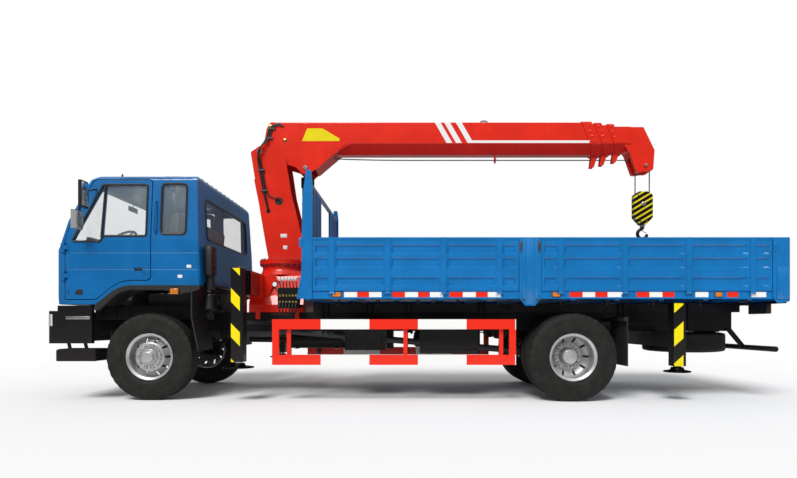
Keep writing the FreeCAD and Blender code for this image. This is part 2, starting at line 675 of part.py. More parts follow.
def cab_shell(skin):
    """Welded cab without its doors: window holes, the grille's hole and the crease lines are cut."""
    tools = [front_prism(windscreen_outline(), FRONT_REACH), front_prism(rear_window_outline(), REAR_REACH),
             front_prism(grille_outline(), (CAB_NOSE - 50, -1000))]
    for side in (-1, 1):
        reach = (side * SIDE_REACH[0], side * SIDE_REACH[1])
        tools += [side_prism(door_outline(DOOR_GAP), reach), side_prism(side_window_outline(), reach)]
    shell = skin.cut(tools)
    sound = max(shell.Solids, key=lambda solid: solid.Volume)
    knuckles = [shape for piece in door_hinge_cab_half() for shape in (piece, mirrored(piece))]
    return fused([sound] + cab_hinge_arms() + knuckles)


DOOR_HINGE_BACK = DOOR_FRONT - 5
DOOR_HINGE_Y = CAB_HALF_WIDTH - 25
DOOR_HINGE_FEET = (1480, 1820)
DOOR_KNUCKLE = 50
DOOR_KNUCKLE_RADIUS = 12
DOOR_PIN_RADIUS = 6


def door_knuckle(low, high, leaf):
    """Upright barrel on the left door's hinge line, with the leaf that ties it to the skin."""
    line = [(DOOR_HINGE_BACK, DOOR_HINGE_Y, z) for z in (low, high)]
    leaf = plan_prism([(DOOR_HINGE_BACK + back, DOOR_HINGE_Y + out) for back, out in leaf], (low, high))
    return fused([rod(line[0], line[1], DOOR_KNUCKLE_RADIUS), leaf])


def door_hinge_cab_half():
    """Left door's hinge pins, with the knuckles on the front pillar that hold their ends."""
    leaf = [(-75, -75), (-75, -56), (-6, 10), (2, 0), (-2, -12), (-10, -43)]
    pieces = []
    for foot in DOOR_HINGE_FEET:
        for low, high in ((foot - 32, foot - 2), (foot + DOOR_KNUCKLE + 2, foot + DOOR_KNUCKLE + 32)):
            pieces.append(door_knuckle(low, high, leaf))
        pieces.append(rod((DOOR_HINGE_BACK, DOOR_HINGE_Y, foot - 20),
                          (DOOR_HINGE_BACK, DOOR_HINGE_Y, foot + DOOR_KNUCKLE + 20), DOOR_PIN_RADIUS))
    return pieces


def door_hinge_door_half():
    """The left door's knuckles; their bores are cut when they're on the door."""
    leaf = [(0, -12), (0, 12), (70, 14), (70, -20)]
    return [door_knuckle(foot, foot + DOOR_KNUCKLE, leaf) for foot in DOOR_HINGE_FEET]


def cab_hinge_arms():
    """Arms under the nose with the eyes that turn on the frame's hinge pins."""
    arms = []
    for side in (-1, 1):
        across = (side * 330, side * 370)
        eye = cross_rod(CAB_HINGE_BACK, CAB_HINGE_Z, across, 28)
        arm = side_prism([(CAB_HINGE_BACK - 26, CAB_HINGE_Z), (CAB_HINGE_BACK + 26, CAB_HINGE_Z),
                          (CAB_HINGE_BACK + 40, CAB_FRONT_FLOOR_Z + 12), (CAB_HINGE_BACK + 4, CAB_FRONT_FLOOR_Z + 12)],
                         across)
        hole = cross_rod(CAB_HINGE_BACK, CAB_HINGE_Z, (side * 320, side * 380), 14 + PIN_CLEARANCE)
        arms.append(fused([eye, arm]).cut(hole))
    return arms


def cab_hinge_brackets():
    """Cheeks and pins at the front of the rails that the cab tips about."""
    pieces = []
    for side in (-1, 1):
        outline = [(CAB_HINGE_BACK - 42, RAIL_TOP - 20), (CAB_HINGE_BACK - 23, CAB_HINGE_Z + 23, 21),
                   (CAB_HINGE_BACK + 23, CAB_HINGE_Z + 23, 21), (CAB_HINGE_BACK + 42, RAIL_TOP - 20)]
        pieces += [side_prism(outline, (side * (370 + RUN_GAP), side * (390 + RUN_GAP))),
                   cross_rod(CAB_HINGE_BACK, CAB_HINGE_Z, (side * 322, side * (380 + RUN_GAP)), 14)]
    return pieces


def cab_rest():
    """Frame across the rails that the cab's rear floor sits on."""
    top = CAB_ARCH_Z - SEAT_GAP
    back = CAB_REAR - 70
    posts = [box((back - 30, back + 30), (side * 360, side * 420), (RAIL_TOP - 10, top - 40)) for side in (-1, 1)]
    return posts + [box((back - 30, back + 30), (-520, 520), (top - 50, top))]


def cab_glass(skin):
    """Windscreen, rear window and the two fixed side windows."""
    panes = [skin.common(front_prism(windscreen_outline(), FRONT_REACH)),
             skin.common(front_prism(rear_window_outline(), REAR_REACH))]
    for side in (-1, 1):
        reach = (side * SIDE_REACH[0], side * SIDE_REACH[1])
        panes.append(skin.common(side_prism(side_window_outline(), reach)))
    return panes


def cab_grille(skin):
    """Black slatted panel in the nose."""
    panel = skin.common(front_prism(grille_outline(), (CAB_NOSE - 50, -1000)))
    low, high = GRILLE_Z
    rows = 6
    pitch = (high - low) / rows
    cuts = []
    for row in range(rows):
        bottom = low + pitch * row + 14
        for side in (-1, 1):
            cuts.append(box((CAB_NOSE - 50, CAB_NOSE + 14), (side * 20, side * (GRILLE_HALF_WIDTH - 30)),
                            (bottom, bottom + pitch - 24)))
    return panel.cut(cuts)


def door(skin):
    """Left door, cut from the cab's skin so that it lies flush."""
    reach = SIDE_REACH
    panel = skin.common(side_prism(door_outline(0), reach)).cut(side_prism(door_window_outline(), reach))
    panel = max(panel.Solids, key=lambda solid: solid.Volume)
    bar = skin.common(side_prism(quarter_bar_outline(), reach))
    recess = box((-150, -55), (CAB_HALF_WIDTH - 14, CAB_HALF_WIDTH + 20), (1560, 1600))
    bores = [rod((DOOR_HINGE_BACK, DOOR_HINGE_Y, foot - 5), (DOOR_HINGE_BACK, DOOR_HINGE_Y, foot + DOOR_KNUCKLE + 5),
                 DOOR_PIN_RADIUS + PIN_CLEARANCE) for foot in DOOR_HINGE_FEET]
    return fused([panel, bar] + door_hinge_door_half()).cut([recess] + bores)


def door_glass(pane_skin):
    """Quarter light and main pane, either side of the upright bar."""
    pane = pane_skin.common(side_prism(door_window_outline(), SIDE_REACH))
    return pane.cut(side_prism(quarter_bar_outline(), SIDE_REACH))


def cab_fenders():
    """Black arch trims under the cab's floor line, with the mud guard behind each front wheel."""
    inner_y, outer_y = 640, CAB_HALF_WIDTH - 8
    gap = SEAT_GAP
    band = [(ARCH_START - 4, CAB_FRONT_FLOOR_Z - gap), (ARCH_END - 26, CAB_ARCH_Z - gap, 110),
            (CAB_REAR - 10, CAB_ARCH_Z - gap), (CAB_REAR - 10, CAB_ARCH_Z - 50, 20), (470, CAB_ARCH_Z - 100, 60),
            (360, CAB_ARCH_Z - 60, 60), (ARCH_END + 30, CAB_ARCH_Z - 50, ARCH_FILLET - 40),
            (ARCH_START + 30, CAB_FRONT_FLOOR_Z - 70), (ARCH_START - 30, CAB_FRONT_FLOOR_Z - 70)]
    trim = side_prism(band, (outer_y - 60, outer_y))
    liner = side_prism([(ARCH_START - 4, CAB_FRONT_FLOOR_Z - gap), (ARCH_END - 26, CAB_ARCH_Z - gap, 110),
                        (540, CAB_ARCH_Z - gap), (540, 1000, 200), (620, 600), (604, 600), (524, 1000, 200),
                        (524, CAB_ARCH_Z - 34, 10), (ARCH_END + 20, CAB_ARCH_Z - 34, ARCH_FILLET - 40),
                        (ARCH_START + 20, CAB_FRONT_FLOOR_Z - gap)], (inner_y, outer_y))
    cab = inset_prism(side_face(cab_side_outline(), inner_y - 10), -gap, Vector(0, outer_y, 0))
    return both_sides(fused([trim, liner]).cut(cab))


def seat(middle_y, width):
    """Cushion and raked backrest on a plinth."""
    half = width / 2
    floor = CAB_ARCH_Z + CAB_WALL
    plinth = box((-230, 130), (middle_y - half + 40, middle_y + half - 40), (floor, floor + 150))
    cushion = side_prism([(-300, floor + 150, 40), (-300, floor + 290, 50), (170, floor + 260, 30),
                          (170, floor + 150, 20)], (middle_y - half, middle_y + half))
    back = side_prism([(60, floor + 240, 20), (180, floor + 900, 50), (280, floor + 890, 50), (190, floor + 200, 20)],
                      (middle_y - half, middle_y + half))
    return fused([plinth, cushion, back])


def cab_interior():
    """Seats, dashboard, engine hump and steering wheel."""
    floor = CAB_ARCH_Z + CAB_WALL
    driver, mate = seat(620, 500), seat(-480, 760)
    shelf = box((330, CAB_REAR - 75), (-1000, 1000), (floor, floor + 330))
    hump = plan_prism([(-620, 300, 60), (280, 300, 30), (280, -60, 30), (-620, -60, 60)], (floor, floor + 160))
    dash = side_prism([(-1080, 1640, 30), (-1080, 1840, 20), (-1040, 1905, 30), (-800, 1930, 60), (-760, 1700, 40),
                       (-860, 1640, 30)], (-1000, 1000))
    body = cab_body(CAB_WALL + SEAT_GAP)
    column = rod((-800, 620, 1720), (-600, 620, 1960), 28)
    return [driver, mate, shelf.common(body), hump, fused([dash.common(body), column, steering_wheel()])]


STEERING_WHEEL_RADIUS = 235


def steering_wheel():
    rim = Part.makeTorus(STEERING_WHEEL_RADIUS, 15, Vector(0, 0, 0), Vector(0, 0, 1))
    spokes = [Part.makeCylinder(10, 2 * STEERING_WHEEL_RADIUS, Vector(-STEERING_WHEEL_RADIUS, 0, 0), Vector(1, 0, 0)),
              Part.makeCylinder(10, STEERING_WHEEL_RADIUS, Vector(0, 0, 0), Vector(0, 1, 0))]
    boss = Part.makeCylinder(45, 40, Vector(0, 0, -20))
    wheel = fused([rim, boss] + spokes)
    wheel.rotate(Vector(0, 0, 0), Vector(0, 0, 1), 90)
    wheel.rotate(Vector(0, 0, 0), Vector(0, 1, 0), 40)
    wheel.translate(Vector(x_at(-598), 620, 1962))
    return wheel


MIRROR_Y = 1290


def mirror():
    """Left mirrors: a hoop of tube from the door's front frame with two heads on it."""
    low, high = (-752, MIRROR_Y, 2150), (-678, MIRROR_Y, 2480)
    tube = [rod((-865, CAB_HALF_WIDTH - 8, 2090), low, 11), rod((-632, CAB_HALF_WIDTH - 48, 2550), high, 11),
            rod(low, high, 13)]
    main = plan_prism([(-700, MIRROR_Y - 85, 20), (-700, MIRROR_Y + 95, 20), (-655, MIRROR_Y + 80, 20),
                       (-655, MIRROR_Y - 70, 20)], (2290, 2600))
    wide = plan_prism([(-790, MIRROR_Y - 85, 25), (-790, MIRROR_Y + 95, 25), (-715, MIRROR_Y + 70, 25),
                       (-715, MIRROR_Y - 60, 25)], (2040, 2255))
    return fused(tube + [main, wide])


# ---- Front bumper, lamps, steps, tanks, guards and underrun ----

BUMPER_Z = (690, 1080)
BUMPER_WALL = 60
BUMPER_REAR = -660
LAMP_Z = (900, 1040)
LAMP_Y = (800, 1040)
LAMP_DEPTH = 45


def bumper():
    """Steel bumper that wraps round both corners, with a boarding step hung under each end."""
    half, front = CAB_HALF_WIDTH, -FRONT_OVERHANG
    outer = plan_prism([(BUMPER_REAR, half), (front + 60, half, 110), (front, half - 260, 120),
                        (front, 260 - half, 120), (front + 60, -half, 110), (BUMPER_REAR, -half)], BUMPER_Z)
    wall = BUMPER_WALL
    inner = plan_prism([(BUMPER_REAR + 10, half - wall), (front + 60 + wall, half - wall, 60),
                        (front + wall, half - 280, 80), (front + wall, 280 - half, 80),
                        (front + 60 + wall, wall - half, 60), (BUMPER_REAR + 10, wall - half)],
                       (BUMPER_Z[0] - 5, BUMPER_Z[1] + 5))
    shell = outer.cut(inner)
    sockets = [box((front - 10, front + LAMP_DEPTH + 40), (side * LAMP_Y[0], side * LAMP_Y[1]), LAMP_Z)
               for side in (-1, 1)]
    grille = [box((front - 10, front + 12), (-560, 560), (z, z + 26)) for z in (760, 820, 880, 940)]
    stays = [box((front + wall, RAIL_FRONT), (side * (FRAME_HALF_WIDTH - 60), side * FRAME_HALF_WIDTH),
                 (880, 1010)) for side in (-1, 1)]
    valances = [box((CAB_HINGE_BACK + 20, BUMPER_REAR - 5), (side * (half - 55), side * (half - 15)),
                    (BUMPER_Z[1] - 80, CAB_FRONT_FLOOR_Z - 15)) for side in (-1, 1)]
    steps = []
    for side in (-1, 1):
        across = (side * 850, side * (half - 20))
        tread = side_prism([(-1100, 475, 15), (-1100, 610, 15), (-1060, 625, 15), (-625, 625, 15), (-625, 475, 15)],
                           across)
        well = box((-1060, -665), (side * 890, side * (half - 60)), (520, 640))
        hangers = [side_prism([(low, 600), (low - 30, BUMPER_Z[0] + 40), (low + 10, BUMPER_Z[0] + 40),
                               (low + 40, 600)], (side * (half - 50), side * (half - 38))) for low in (-960, -760)]
        steps += [tread.cut(well)] + hangers
    return fused([shell.cut(sockets + grille)] + valances + stays + steps)


def lamps():
    """Headlamps in the bumper and tail lamps under the bed's rear edge."""
    front = -FRONT_OVERHANG
    y, z = LAMP_Y, LAMP_Z
    head = box((front + 30, front + LAMP_DEPTH + 40), (y[0], y[1]), z).common(
        plan_prism([(front + 100, y[0] - 10), (front + 18, y[0] - 10), (front + 30, y[1] - 60, 60),
                    (front + 100, y[1] + 30)], z))
    tail = box((BED_REAR - 90, BED_REAR - 40), (600, 960), (CROSS_MEMBER_BOTTOM - 130, CROSS_MEMBER_BOTTOM - 20))
    return [head, mirrored(head), tail, mirrored(tail)]


FUEL_TANK = (3280, 3990)
FUEL_TANK_Y = (520, 1020)
FUEL_TANK_Z = (560, 920)
BATTERY_BOX = (2350, 2850)
AIR_TANK_RADIUS = 125
AIR_TANK = (3250, 4000)


def side_tanks():
    """Fuel tank and battery box on the left, air tanks and tool box on the right, on stays off the rails."""
    web = FRAME_HALF_WIDTH
    y, z = FUEL_TANK_Y, FUEL_TANK_Z
    tank = front_prism([(y[0], z[0], 80), (y[0], z[1], 80), (y[1], z[1], 80), (y[1], z[0], 80)], FUEL_TANK)
    cap = Part.makeCylinder(45, 35, Vector(x_at(FUEL_TANK[0] + 130), 880, z[1]))
    straps = [front_prism([(y[0] - 5, z[0] - 5, 82), (y[0] - 5, z[1] + 5, 82), (y[1] + 5, z[1] + 5, 82),
                           (y[1] + 5, z[0] - 5, 82)], (behind - 25, behind + 25))
              for behind in (FUEL_TANK[0] + 120, FUEL_TANK[1] - 120)]
    arms = [box((behind - 25, behind + 25), (web, y[0] + 10), (860, 910))
            for behind in (FUEL_TANK[0] + 120, FUEL_TANK[1] - 120)]
    battery = box(BATTERY_BOX, (web + 60, 960), (600, 930))
    battery_arm = box((BATTERY_BOX[0] + 100, BATTERY_BOX[1] - 100), (web, web + 70), (860, 900))
    left = [fused([tank, cap] + straps + arms), fused([battery, battery_arm])]
    right = []
    for middle_z in (700, 960):
        air = rod((AIR_TANK[0], -700, middle_z), (AIR_TANK[1], -700, middle_z), AIR_TANK_RADIUS)
        right.append(air)
    web_plates = [box((behind - 15, behind + 15), (-web, -720), (690, 970))
                  for behind in (AIR_TANK[0] + 150, AIR_TANK[1] - 150)]
    tool_box = box((2250, 2900), (-1000, -(web + 60)), (560, 930))
    tool_arm = box((2350, 2800), (-(web + 70), -web), (860, 900))
    return left + [fused(right + web_plates), fused([tool_box, tool_arm])]


def exhaust():
    """Silencer on the right, with its pipe to the front and its tail pipe."""
    silencer = front_prism([(-850, 560, 110), (-850, 820, 110), (-520, 820, 110), (-520, 560, 110)], (1350, 2150))
    neck = box((1700, 1760), (-620, -580), (780, 880))
    tail = rod((2120, -690, 620), (2205, -690, 572), 45)
    lead = rod((1380, -600, 690), (760, -520, 700), 45)
    return fused([silencer, box((1700, 1760), (-620, -FRAME_HALF_WIDTH), (850, 880)), neck, tail, lead])


GUARD = (1510, WHEELBASE - 680)
GUARD_Y = (1140, 1185)
GUARD_Z = (435, 980)
GUARD_BAR = 120
GUARD_END_BAR = 80
GUARD_STAYS = (1700, 3100, WHEELBASE - 850)


def side_guards():
    """Side rails between the axles: bolted rails, end bars and uprights, with stays off the ladder frame."""
    (front, rear), (inner, outer), (low, high) = GUARD, GUARD_Y, GUARD_Z
    pieces = [box(GUARD, GUARD_Y, (low, low + GUARD_BAR)), box(GUARD, GUARD_Y, (high - GUARD_BAR, high))]
    between = (low + GUARD_BAR + SEAT_GAP, high - GUARD_BAR - SEAT_GAP)
    pieces += [box((start, start + GUARD_END_BAR), GUARD_Y, between) for start in (front, rear - GUARD_END_BAR)]
    for behind in GUARD_STAYS:
        width = (behind - 25, behind + 25)
        pieces.append(box(width, (inner - 45, inner - SEAT_GAP), (low + 20, high - 20)))
        pieces.append(box(width, (FRAME_HALF_WIDTH + SEAT_GAP, inner - 45 - SEAT_GAP), (high - 65, high - 20)))
    return [both_sides(piece) for piece in pieces]


UNDERRUN_BACK = BED_REAR - 90
UNDERRUN_Z = 620


def rear_underrun():
    """Round bar across the tail on two raked arms."""
    bar = cross_rod(UNDERRUN_BACK, UNDERRUN_Z, (-1120, 1120), 34)
    arms = [side_prism([(UNDERRUN_BACK - 230, RAIL_BOTTOM + 30), (UNDERRUN_BACK - 160, RAIL_BOTTOM + 30),
                     (UNDERRUN_BACK + 26, UNDERRUN_Z + 10),
                     (UNDERRUN_BACK - 20, UNDERRUN_Z - 10)],
                    (side * FRAME_HALF_WIDTH, side * (FRAME_HALF_WIDTH + 40))) for side in (-1, 1)]
    return fused([bar] + arms)


FLAP_Z = (420, 1010)


def mud_flaps():
    """Rubber flaps before and behind the rear wheels, on stays off the rails."""
    pieces = []
    for behind in (WHEELBASE + TYRE_RADIUS + 110,):
        flap = box((behind, behind + 10), (REAR_OUTER_WHEEL_Y - TWIN_SPACING - 120, REAR_OUTER_WHEEL_Y + 125), FLAP_Z)
        stay = box((behind - 30, behind), (FRAME_HALF_WIDTH, REAR_OUTER_WHEEL_Y + 110), (FLAP_Z[1] - 50, FLAP_Z[1] - 10))
        pieces.append(fused([flap, stay]))
    return [both_sides(piece) for piece in pieces]


# ---- Dropside bed ----

GATE_INNER_Y = BED_HALF_WIDTH - GATE_THICKNESS
GATE_BOTTOM = DECK_TOP + RUN_GAP
SIDE_RAIL_Y = (GATE_INNER_Y - 45, BED_HALF_WIDTH - 13)
HINGE_Y = BED_HALF_WIDTH + 5
HINGE_RADIUS = 10
HINGE_PIN_RADIUS = 5
HINGE_HALF = 30
DECK_GROOVE = (15, 4)        # width and depth of the drain groove round the loading area
STIFFENER_WIDTH = 60
STIFFENER_RISE = 8
RIB_ROWS = ((1368, 1480), (1587, 1711), (1753, 1866))
RIB_DEPTH = 22
CORNER_POST_REAR = BED_FRONT + 125
TAILGATE_BACK = BED_REAR - 15


def gate_spans():
    """Front and rear gates on each side, between the posts."""
    return ((CORNER_POST_REAR + RUN_GAP, CENTRE_POST_BACK - RUN_GAP),
            (CENTRE_POST_BACK + CENTRE_POST_WIDTH + RUN_GAP, BED_REAR - CORNER_POST_WIDTH - RUN_GAP))


def stiffener_places(span):
    return spread(span[0] + 230, span[1] - 230, 4)


def recess(low, high, face, depth, carry):
    """Pressed panel: a rectangle on the outer face that narrows by its depth; carry places (a, b, depth)."""
    def ring(inset, at):
        points = [(low[0] + inset, low[1] + inset), (high[0] - inset, low[1] + inset),
                  (high[0] - inset, high[1] - inset), (low[0] + inset, high[1] - inset)]
        return Part.makePolygon([carry(a, b, at) for a, b in points + points[:1]])
    return Part.makeLoft([ring(-1, face + 1), ring(depth, face - depth)], True)


def gate_panel(span, places, carry, across):
    """Drop gate as a panel with upright stiffeners and rows of pressed recesses between them."""
    outer = BED_HALF_WIDTH
    panel = across(span, (GATE_INNER_Y, outer), (GATE_BOTTOM, GATE_TOP))
    edges = [span[0] + 15] + [p + side for p in places for side in (-STIFFENER_WIDTH / 2, STIFFENER_WIDTH / 2)]
    edges.append(span[1] - 15)
    cuts = [recess((edges[i] + 12, row[0]), (edges[i + 1] - 12, row[1]), outer, RIB_DEPTH, carry)
            for i in range(0, len(edges), 2) for row in RIB_ROWS]
    posts = [across((p - STIFFENER_WIDTH / 2, p + STIFFENER_WIDTH / 2), (outer - 5, outer + STIFFENER_RISE),
                    (GATE_BOTTOM, GATE_TOP)) for p in places]
    rim = across(span, (GATE_INNER_Y, outer + 6), (GATE_TOP - 28, GATE_TOP))
    straps = [across((p - HINGE_HALF, p + HINGE_HALF), (outer - 5, outer + 12), (GATE_HINGE_Z + 2, GATE_BOTTOM + 20))
              for p in places]
    return panel.cut(cuts), posts + straps + [rim]


def side_gate(span):
    """Left drop gate with its half of the hinges."""
    places = stiffener_places(span)
    panel, extras = gate_panel(span, places, lambda a, b, y: Vector(x_at(a), y, b), box)
    knuckles = [rod((p - HINGE_HALF, HINGE_Y, GATE_HINGE_Z), (p + HINGE_HALF, HINGE_Y, GATE_HINGE_Z), HINGE_RADIUS)
                for p in places]
    holes = [rod((p - 60, HINGE_Y, GATE_HINGE_Z), (p + 60, HINGE_Y, GATE_HINGE_Z), HINGE_PIN_RADIUS + PIN_CLEARANCE)
             for p in places]
    return less(fused([panel] + extras + knuckles), holes)


def across_tail(span, y, z):
    """Block for the tailgate: span runs across the truck, and y counts rearwards from the bed's middle line."""
    shift = TAILGATE_BACK - BED_HALF_WIDTH
    return box((min(y) + shift, max(y) + shift), span, z)


def tailgate():
    half = GATE_INNER_Y - RUN_GAP
    span = (-half, half)
    places = spread(-half + 260, half - 260, 4)
    shift = TAILGATE_BACK - BED_HALF_WIDTH
    panel, extras = gate_panel(span, places, lambda a, b, y: Vector(x_at(y + shift), a, b), across_tail)
    hinge = HINGE_Y + shift
    knuckles = [cross_rod(hinge, GATE_HINGE_Z, (p - HINGE_HALF, p + HINGE_HALF), HINGE_RADIUS) for p in places]
    holes = [cross_rod(hinge, GATE_HINGE_Z, (p - 60, p + 60), HINGE_PIN_RADIUS + PIN_CLEARANCE) for p in places]
    return less(fused([panel] + extras + knuckles), holes)


def hinge_lugs():
    """Fixed halves of the gate hinges: two lugs and the pin at each hinge."""
    lugs = []
    reach = HINGE_HALF + 2
    rail_y = SIDE_RAIL_Y[1] - 5
    for span in gate_spans():
        for place in stiffener_places(span):
            pin = rod((place - reach - 12, HINGE_Y, GATE_HINGE_Z), (place + reach + 12, HINGE_Y, GATE_HINGE_Z),
                      HINGE_PIN_RADIUS)
            ends = [box((place + low, place + low + 14), (rail_y, HINGE_Y + 7),
                        (GATE_HINGE_Z - 14, GATE_HINGE_Z + 7)) for low in (-reach - 14, reach)]
            lugs += [pin] + ends
    lugs += [mirrored(piece) for piece in lugs]
    half = GATE_INNER_Y - RUN_GAP
    hinge = HINGE_Y + TAILGATE_BACK - BED_HALF_WIDTH
    for place in spread(-half + 260, half - 260, 4):
        lugs.append(cross_rod(hinge, GATE_HINGE_Z, (place - reach - 12, place + reach + 12), HINGE_PIN_RADIUS))
        lugs += [box((BED_REAR - 45, hinge + 7), (place + low, place + low + 14),
                     (GATE_HINGE_Z - 14, GATE_HINGE_Z + 7)) for low in (-reach - 14, reach)]
    return lugs


def bed_floor():
    """Deck on cross-members and two long runners, with the side rails that carry the gates."""
    pieces = [box((BED_FRONT, BED_REAR - 62), (-GATE_INNER_Y, GATE_INNER_Y), (DECK_BOTTOM, DECK_TOP))]
    for side in (-1, 1):
        pieces.append(box((BED_FRONT, BED_REAR - 120), (side * (FRAME_HALF_WIDTH - RAIL_FLANGE),
                          side * FRAME_HALF_WIDTH), (RAIL_TOP, CROSS_MEMBER_BOTTOM)))
        pieces.append(box((BED_FRONT, BED_REAR - 28), (side * SIDE_RAIL_Y[0], side * SIDE_RAIL_Y[1]),
                          (SIDE_RAIL_BOTTOM, DECK_TOP)))
    for behind in spread(BED_FRONT + 60, BED_REAR - 420, 11):
        pieces.append(box((behind - 30, behind + 30), (-SIDE_RAIL_Y[0], SIDE_RAIL_Y[0]),
                          (CROSS_MEMBER_BOTTOM, DECK_BOTTOM)))
    pieces.append(box((BED_REAR - 90, BED_REAR - 28), (-SIDE_RAIL_Y[1], SIDE_RAIL_Y[1]),
                      (CROSS_MEMBER_BOTTOM - 20, DECK_TOP)))
    return fused(pieces + hinge_lugs()).cut(deck_groove())


def deck_groove():
    """Ring round the loading area, just inside the headboard and the gates."""
    width, depth = DECK_GROOVE
    floor = (DECK_TOP - depth, DECK_TOP + 1)
    side = GATE_INNER_Y - 4
    outer = box((CORNER_POST_REAR, BED_REAR - 64), (-side, side), floor)
    inner = box((CORNER_POST_REAR + width, BED_REAR - 64 - width), (width - side, side - width), floor)
    return outer.cut(inner)


def bed_post(outline, top):
    """Post on the outside of the side rail; above the deck it fills the gate's thickness."""
    plate = side_prism(outline, (SIDE_RAIL_Y[1], HINGE_Y))
    fill = side_prism(outline, (GATE_INNER_Y, HINGE_Y)).common(
        box((BED_FRONT - 100, BED_REAR + 10), (GATE_INNER_Y, HINGE_Y), (DECK_TOP, top)))
    return fused([plate, fill])


def bed_posts():
    """Fixed posts between and beyond the gates, on both sides."""
    front = [(BED_FRONT - 58, SIDE_RAIL_BOTTOM), (BED_FRONT, 1540), (BED_FRONT + 10, 2420),
             (BED_FRONT + 55, HEADBOARD_POST_TOP, 15), (CORNER_POST_REAR - 15, HEADBOARD_POST_TOP, 15),
             (CORNER_POST_REAR, 2600), (CORNER_POST_REAR, SIDE_RAIL_BOTTOM)]
    low, high = CENTRE_POST_BACK, CENTRE_POST_BACK + CENTRE_POST_WIDTH
    centre = [(low, GATE_TOP), (high, GATE_TOP), (high, 1230), (high - 70, 1140), (low + 70, 1140), (low, 1230)]
    low = BED_REAR - CORNER_POST_WIDTH
    rear = [(low, GATE_TOP), (BED_REAR, GATE_TOP), (BED_REAR, 1190, 25), (low + 60, 1170, 25), (low, 1240)]
    posts = [bed_post(front, HEADBOARD_POST_TOP), bed_post(centre, GATE_TOP), bed_post(rear, GATE_TOP)]
    return [both_sides(post) for post in posts]


HEADBOARD_BACK = (CORNER_POST_REAR - 45, CORNER_POST_REAR - 15)
HEADBOARD_BAR = 50
HEADBOARD_OPENING_HALF = 430


def headboard():
    """Bulkhead behind the crane: closed below, ribbed panels on its outer thirds above, open in the middle."""
    low, high = HEADBOARD_BACK
    edge = GATE_INNER_Y
    bar = HEADBOARD_BAR
    pieces = [box((low, high - 14), (-edge, edge), (DECK_TOP, GATE_TOP)),
              box((low, high), (-edge, edge), (HEADBOARD_TOP - bar, HEADBOARD_TOP)),
              box((low, high), (-edge, edge), (GATE_TOP - bar, GATE_TOP))]
    for side in (-1, 1):
        panel_y = (side * HEADBOARD_OPENING_HALF, side * edge)
        pieces.append(box((low, high - 14), panel_y, (GATE_TOP, HEADBOARD_TOP)))
        for y in (HEADBOARD_OPENING_HALF, edge - bar):
            pieces.append(box((low, high), (side * y, side * (y + bar)), (DECK_TOP, HEADBOARD_TOP)))
        for y in spread(HEADBOARD_OPENING_HALF + 110, edge - 110, 6):
            pieces.append(box((low, high - 2), (side * y - 24, side * y + 24), (DECK_TOP, HEADBOARD_TOP)))
    return fused(pieces)


# ---- Crane base, controls and outriggers ----

HOUSING_WALL = 12
BEAM_HEIGHT = 260
HOUSING_HALF_Y = 1010
BEAM_INNER_Y = 20
PEDESTAL = (1020, 1740)
PEDESTAL_HALF_WIDTH = 380
PEDESTAL_TOP = 1600
FLANGE_THICKNESS = 30


def beam_section(grow):
    """Half sizes of the stabiliser beam's section, grown all round."""
    return BEAM_SIDE / 2 + grow, BEAM_HEIGHT / 2 + grow


def crane_base():
    """Welded pedestal clamped to the rails, with the beam housing across it and the slew ring on top."""
    half, high = beam_section(RUN_GAP + HOUSING_WALL)
    housing = box((OUTRIGGER_BACK - half, OUTRIGGER_BACK + half), (-HOUSING_HALF_Y, HOUSING_HALF_Y),
                  (BEAM_Z - high, BEAM_Z + high))
    pedestal = front_prism([(-PEDESTAL_HALF_WIDTH - 60, RAIL_TOP), (-PEDESTAL_HALF_WIDTH - 60, 1180),
                            (-PEDESTAL_HALF_WIDTH, 1300, 80), (-300, PEDESTAL_TOP, 60), (300, PEDESTAL_TOP, 60),
                            (PEDESTAL_HALF_WIDTH, 1300, 80), (PEDESTAL_HALF_WIDTH + 60, 1180),
                            (PEDESTAL_HALF_WIDTH + 60, RAIL_TOP)], PEDESTAL)
    neck = turned_upright([(PEDESTAL_TOP - 10, 0), (PEDESTAL_TOP - 10, 330), (PEDESTAL_TOP + 60, 290, 60),
                           (SLEW_RING_Z - FLANGE_THICKNESS, 290), (SLEW_RING_Z - FLANGE_THICKNESS, SLEW_RING_RADIUS),
                           (SLEW_RING_Z, SLEW_RING_RADIUS), (SLEW_RING_Z, 0)], SLEW_BACK, 0)
    clamps = [box((behind - 30, behind + 30), (side * FRAME_HALF_WIDTH, side * (FRAME_HALF_WIDTH + 16)),
                  (RAIL_TOP - 90, RAIL_TOP + 60)) for behind in (PEDESTAL[0] + 120, PEDESTAL[1] - 80)
              for side in (-1, 1)]
    wings = [side_prism([(OUTRIGGER_BACK + half - 4, BEAM_Z - high), (OUTRIGGER_BACK + half - 4, BEAM_Z + high),
                         (OUTRIGGER_BACK + half + 170, BEAM_Z + high), (OUTRIGGER_BACK + half + 60, BEAM_Z - high, 60)],
                        (side * 380, side * 396)) for side in (-1, 1)]
    half, high = beam_section(RUN_GAP)
    tunnel = box((OUTRIGGER_BACK - half, OUTRIGGER_BACK + half), (-HOUSING_HALF_Y - 10, HOUSING_HALF_Y + 10),
                 (BEAM_Z - high, BEAM_Z + high))
    pads = [box((OUTRIGGER_BACK - 70, OUTRIGGER_BACK + 70), (side * (HOUSING_HALF_Y - 60), side * HOUSING_HALF_Y),
                (BEAM_Z - high, BEAM_Z - BEAM_HEIGHT / 2 - SEAT_GAP)) for side in (-1, 1)]
    return fused([fused([housing, pedestal, neck] + clamps + wings).cut(tunnel)] + pads)


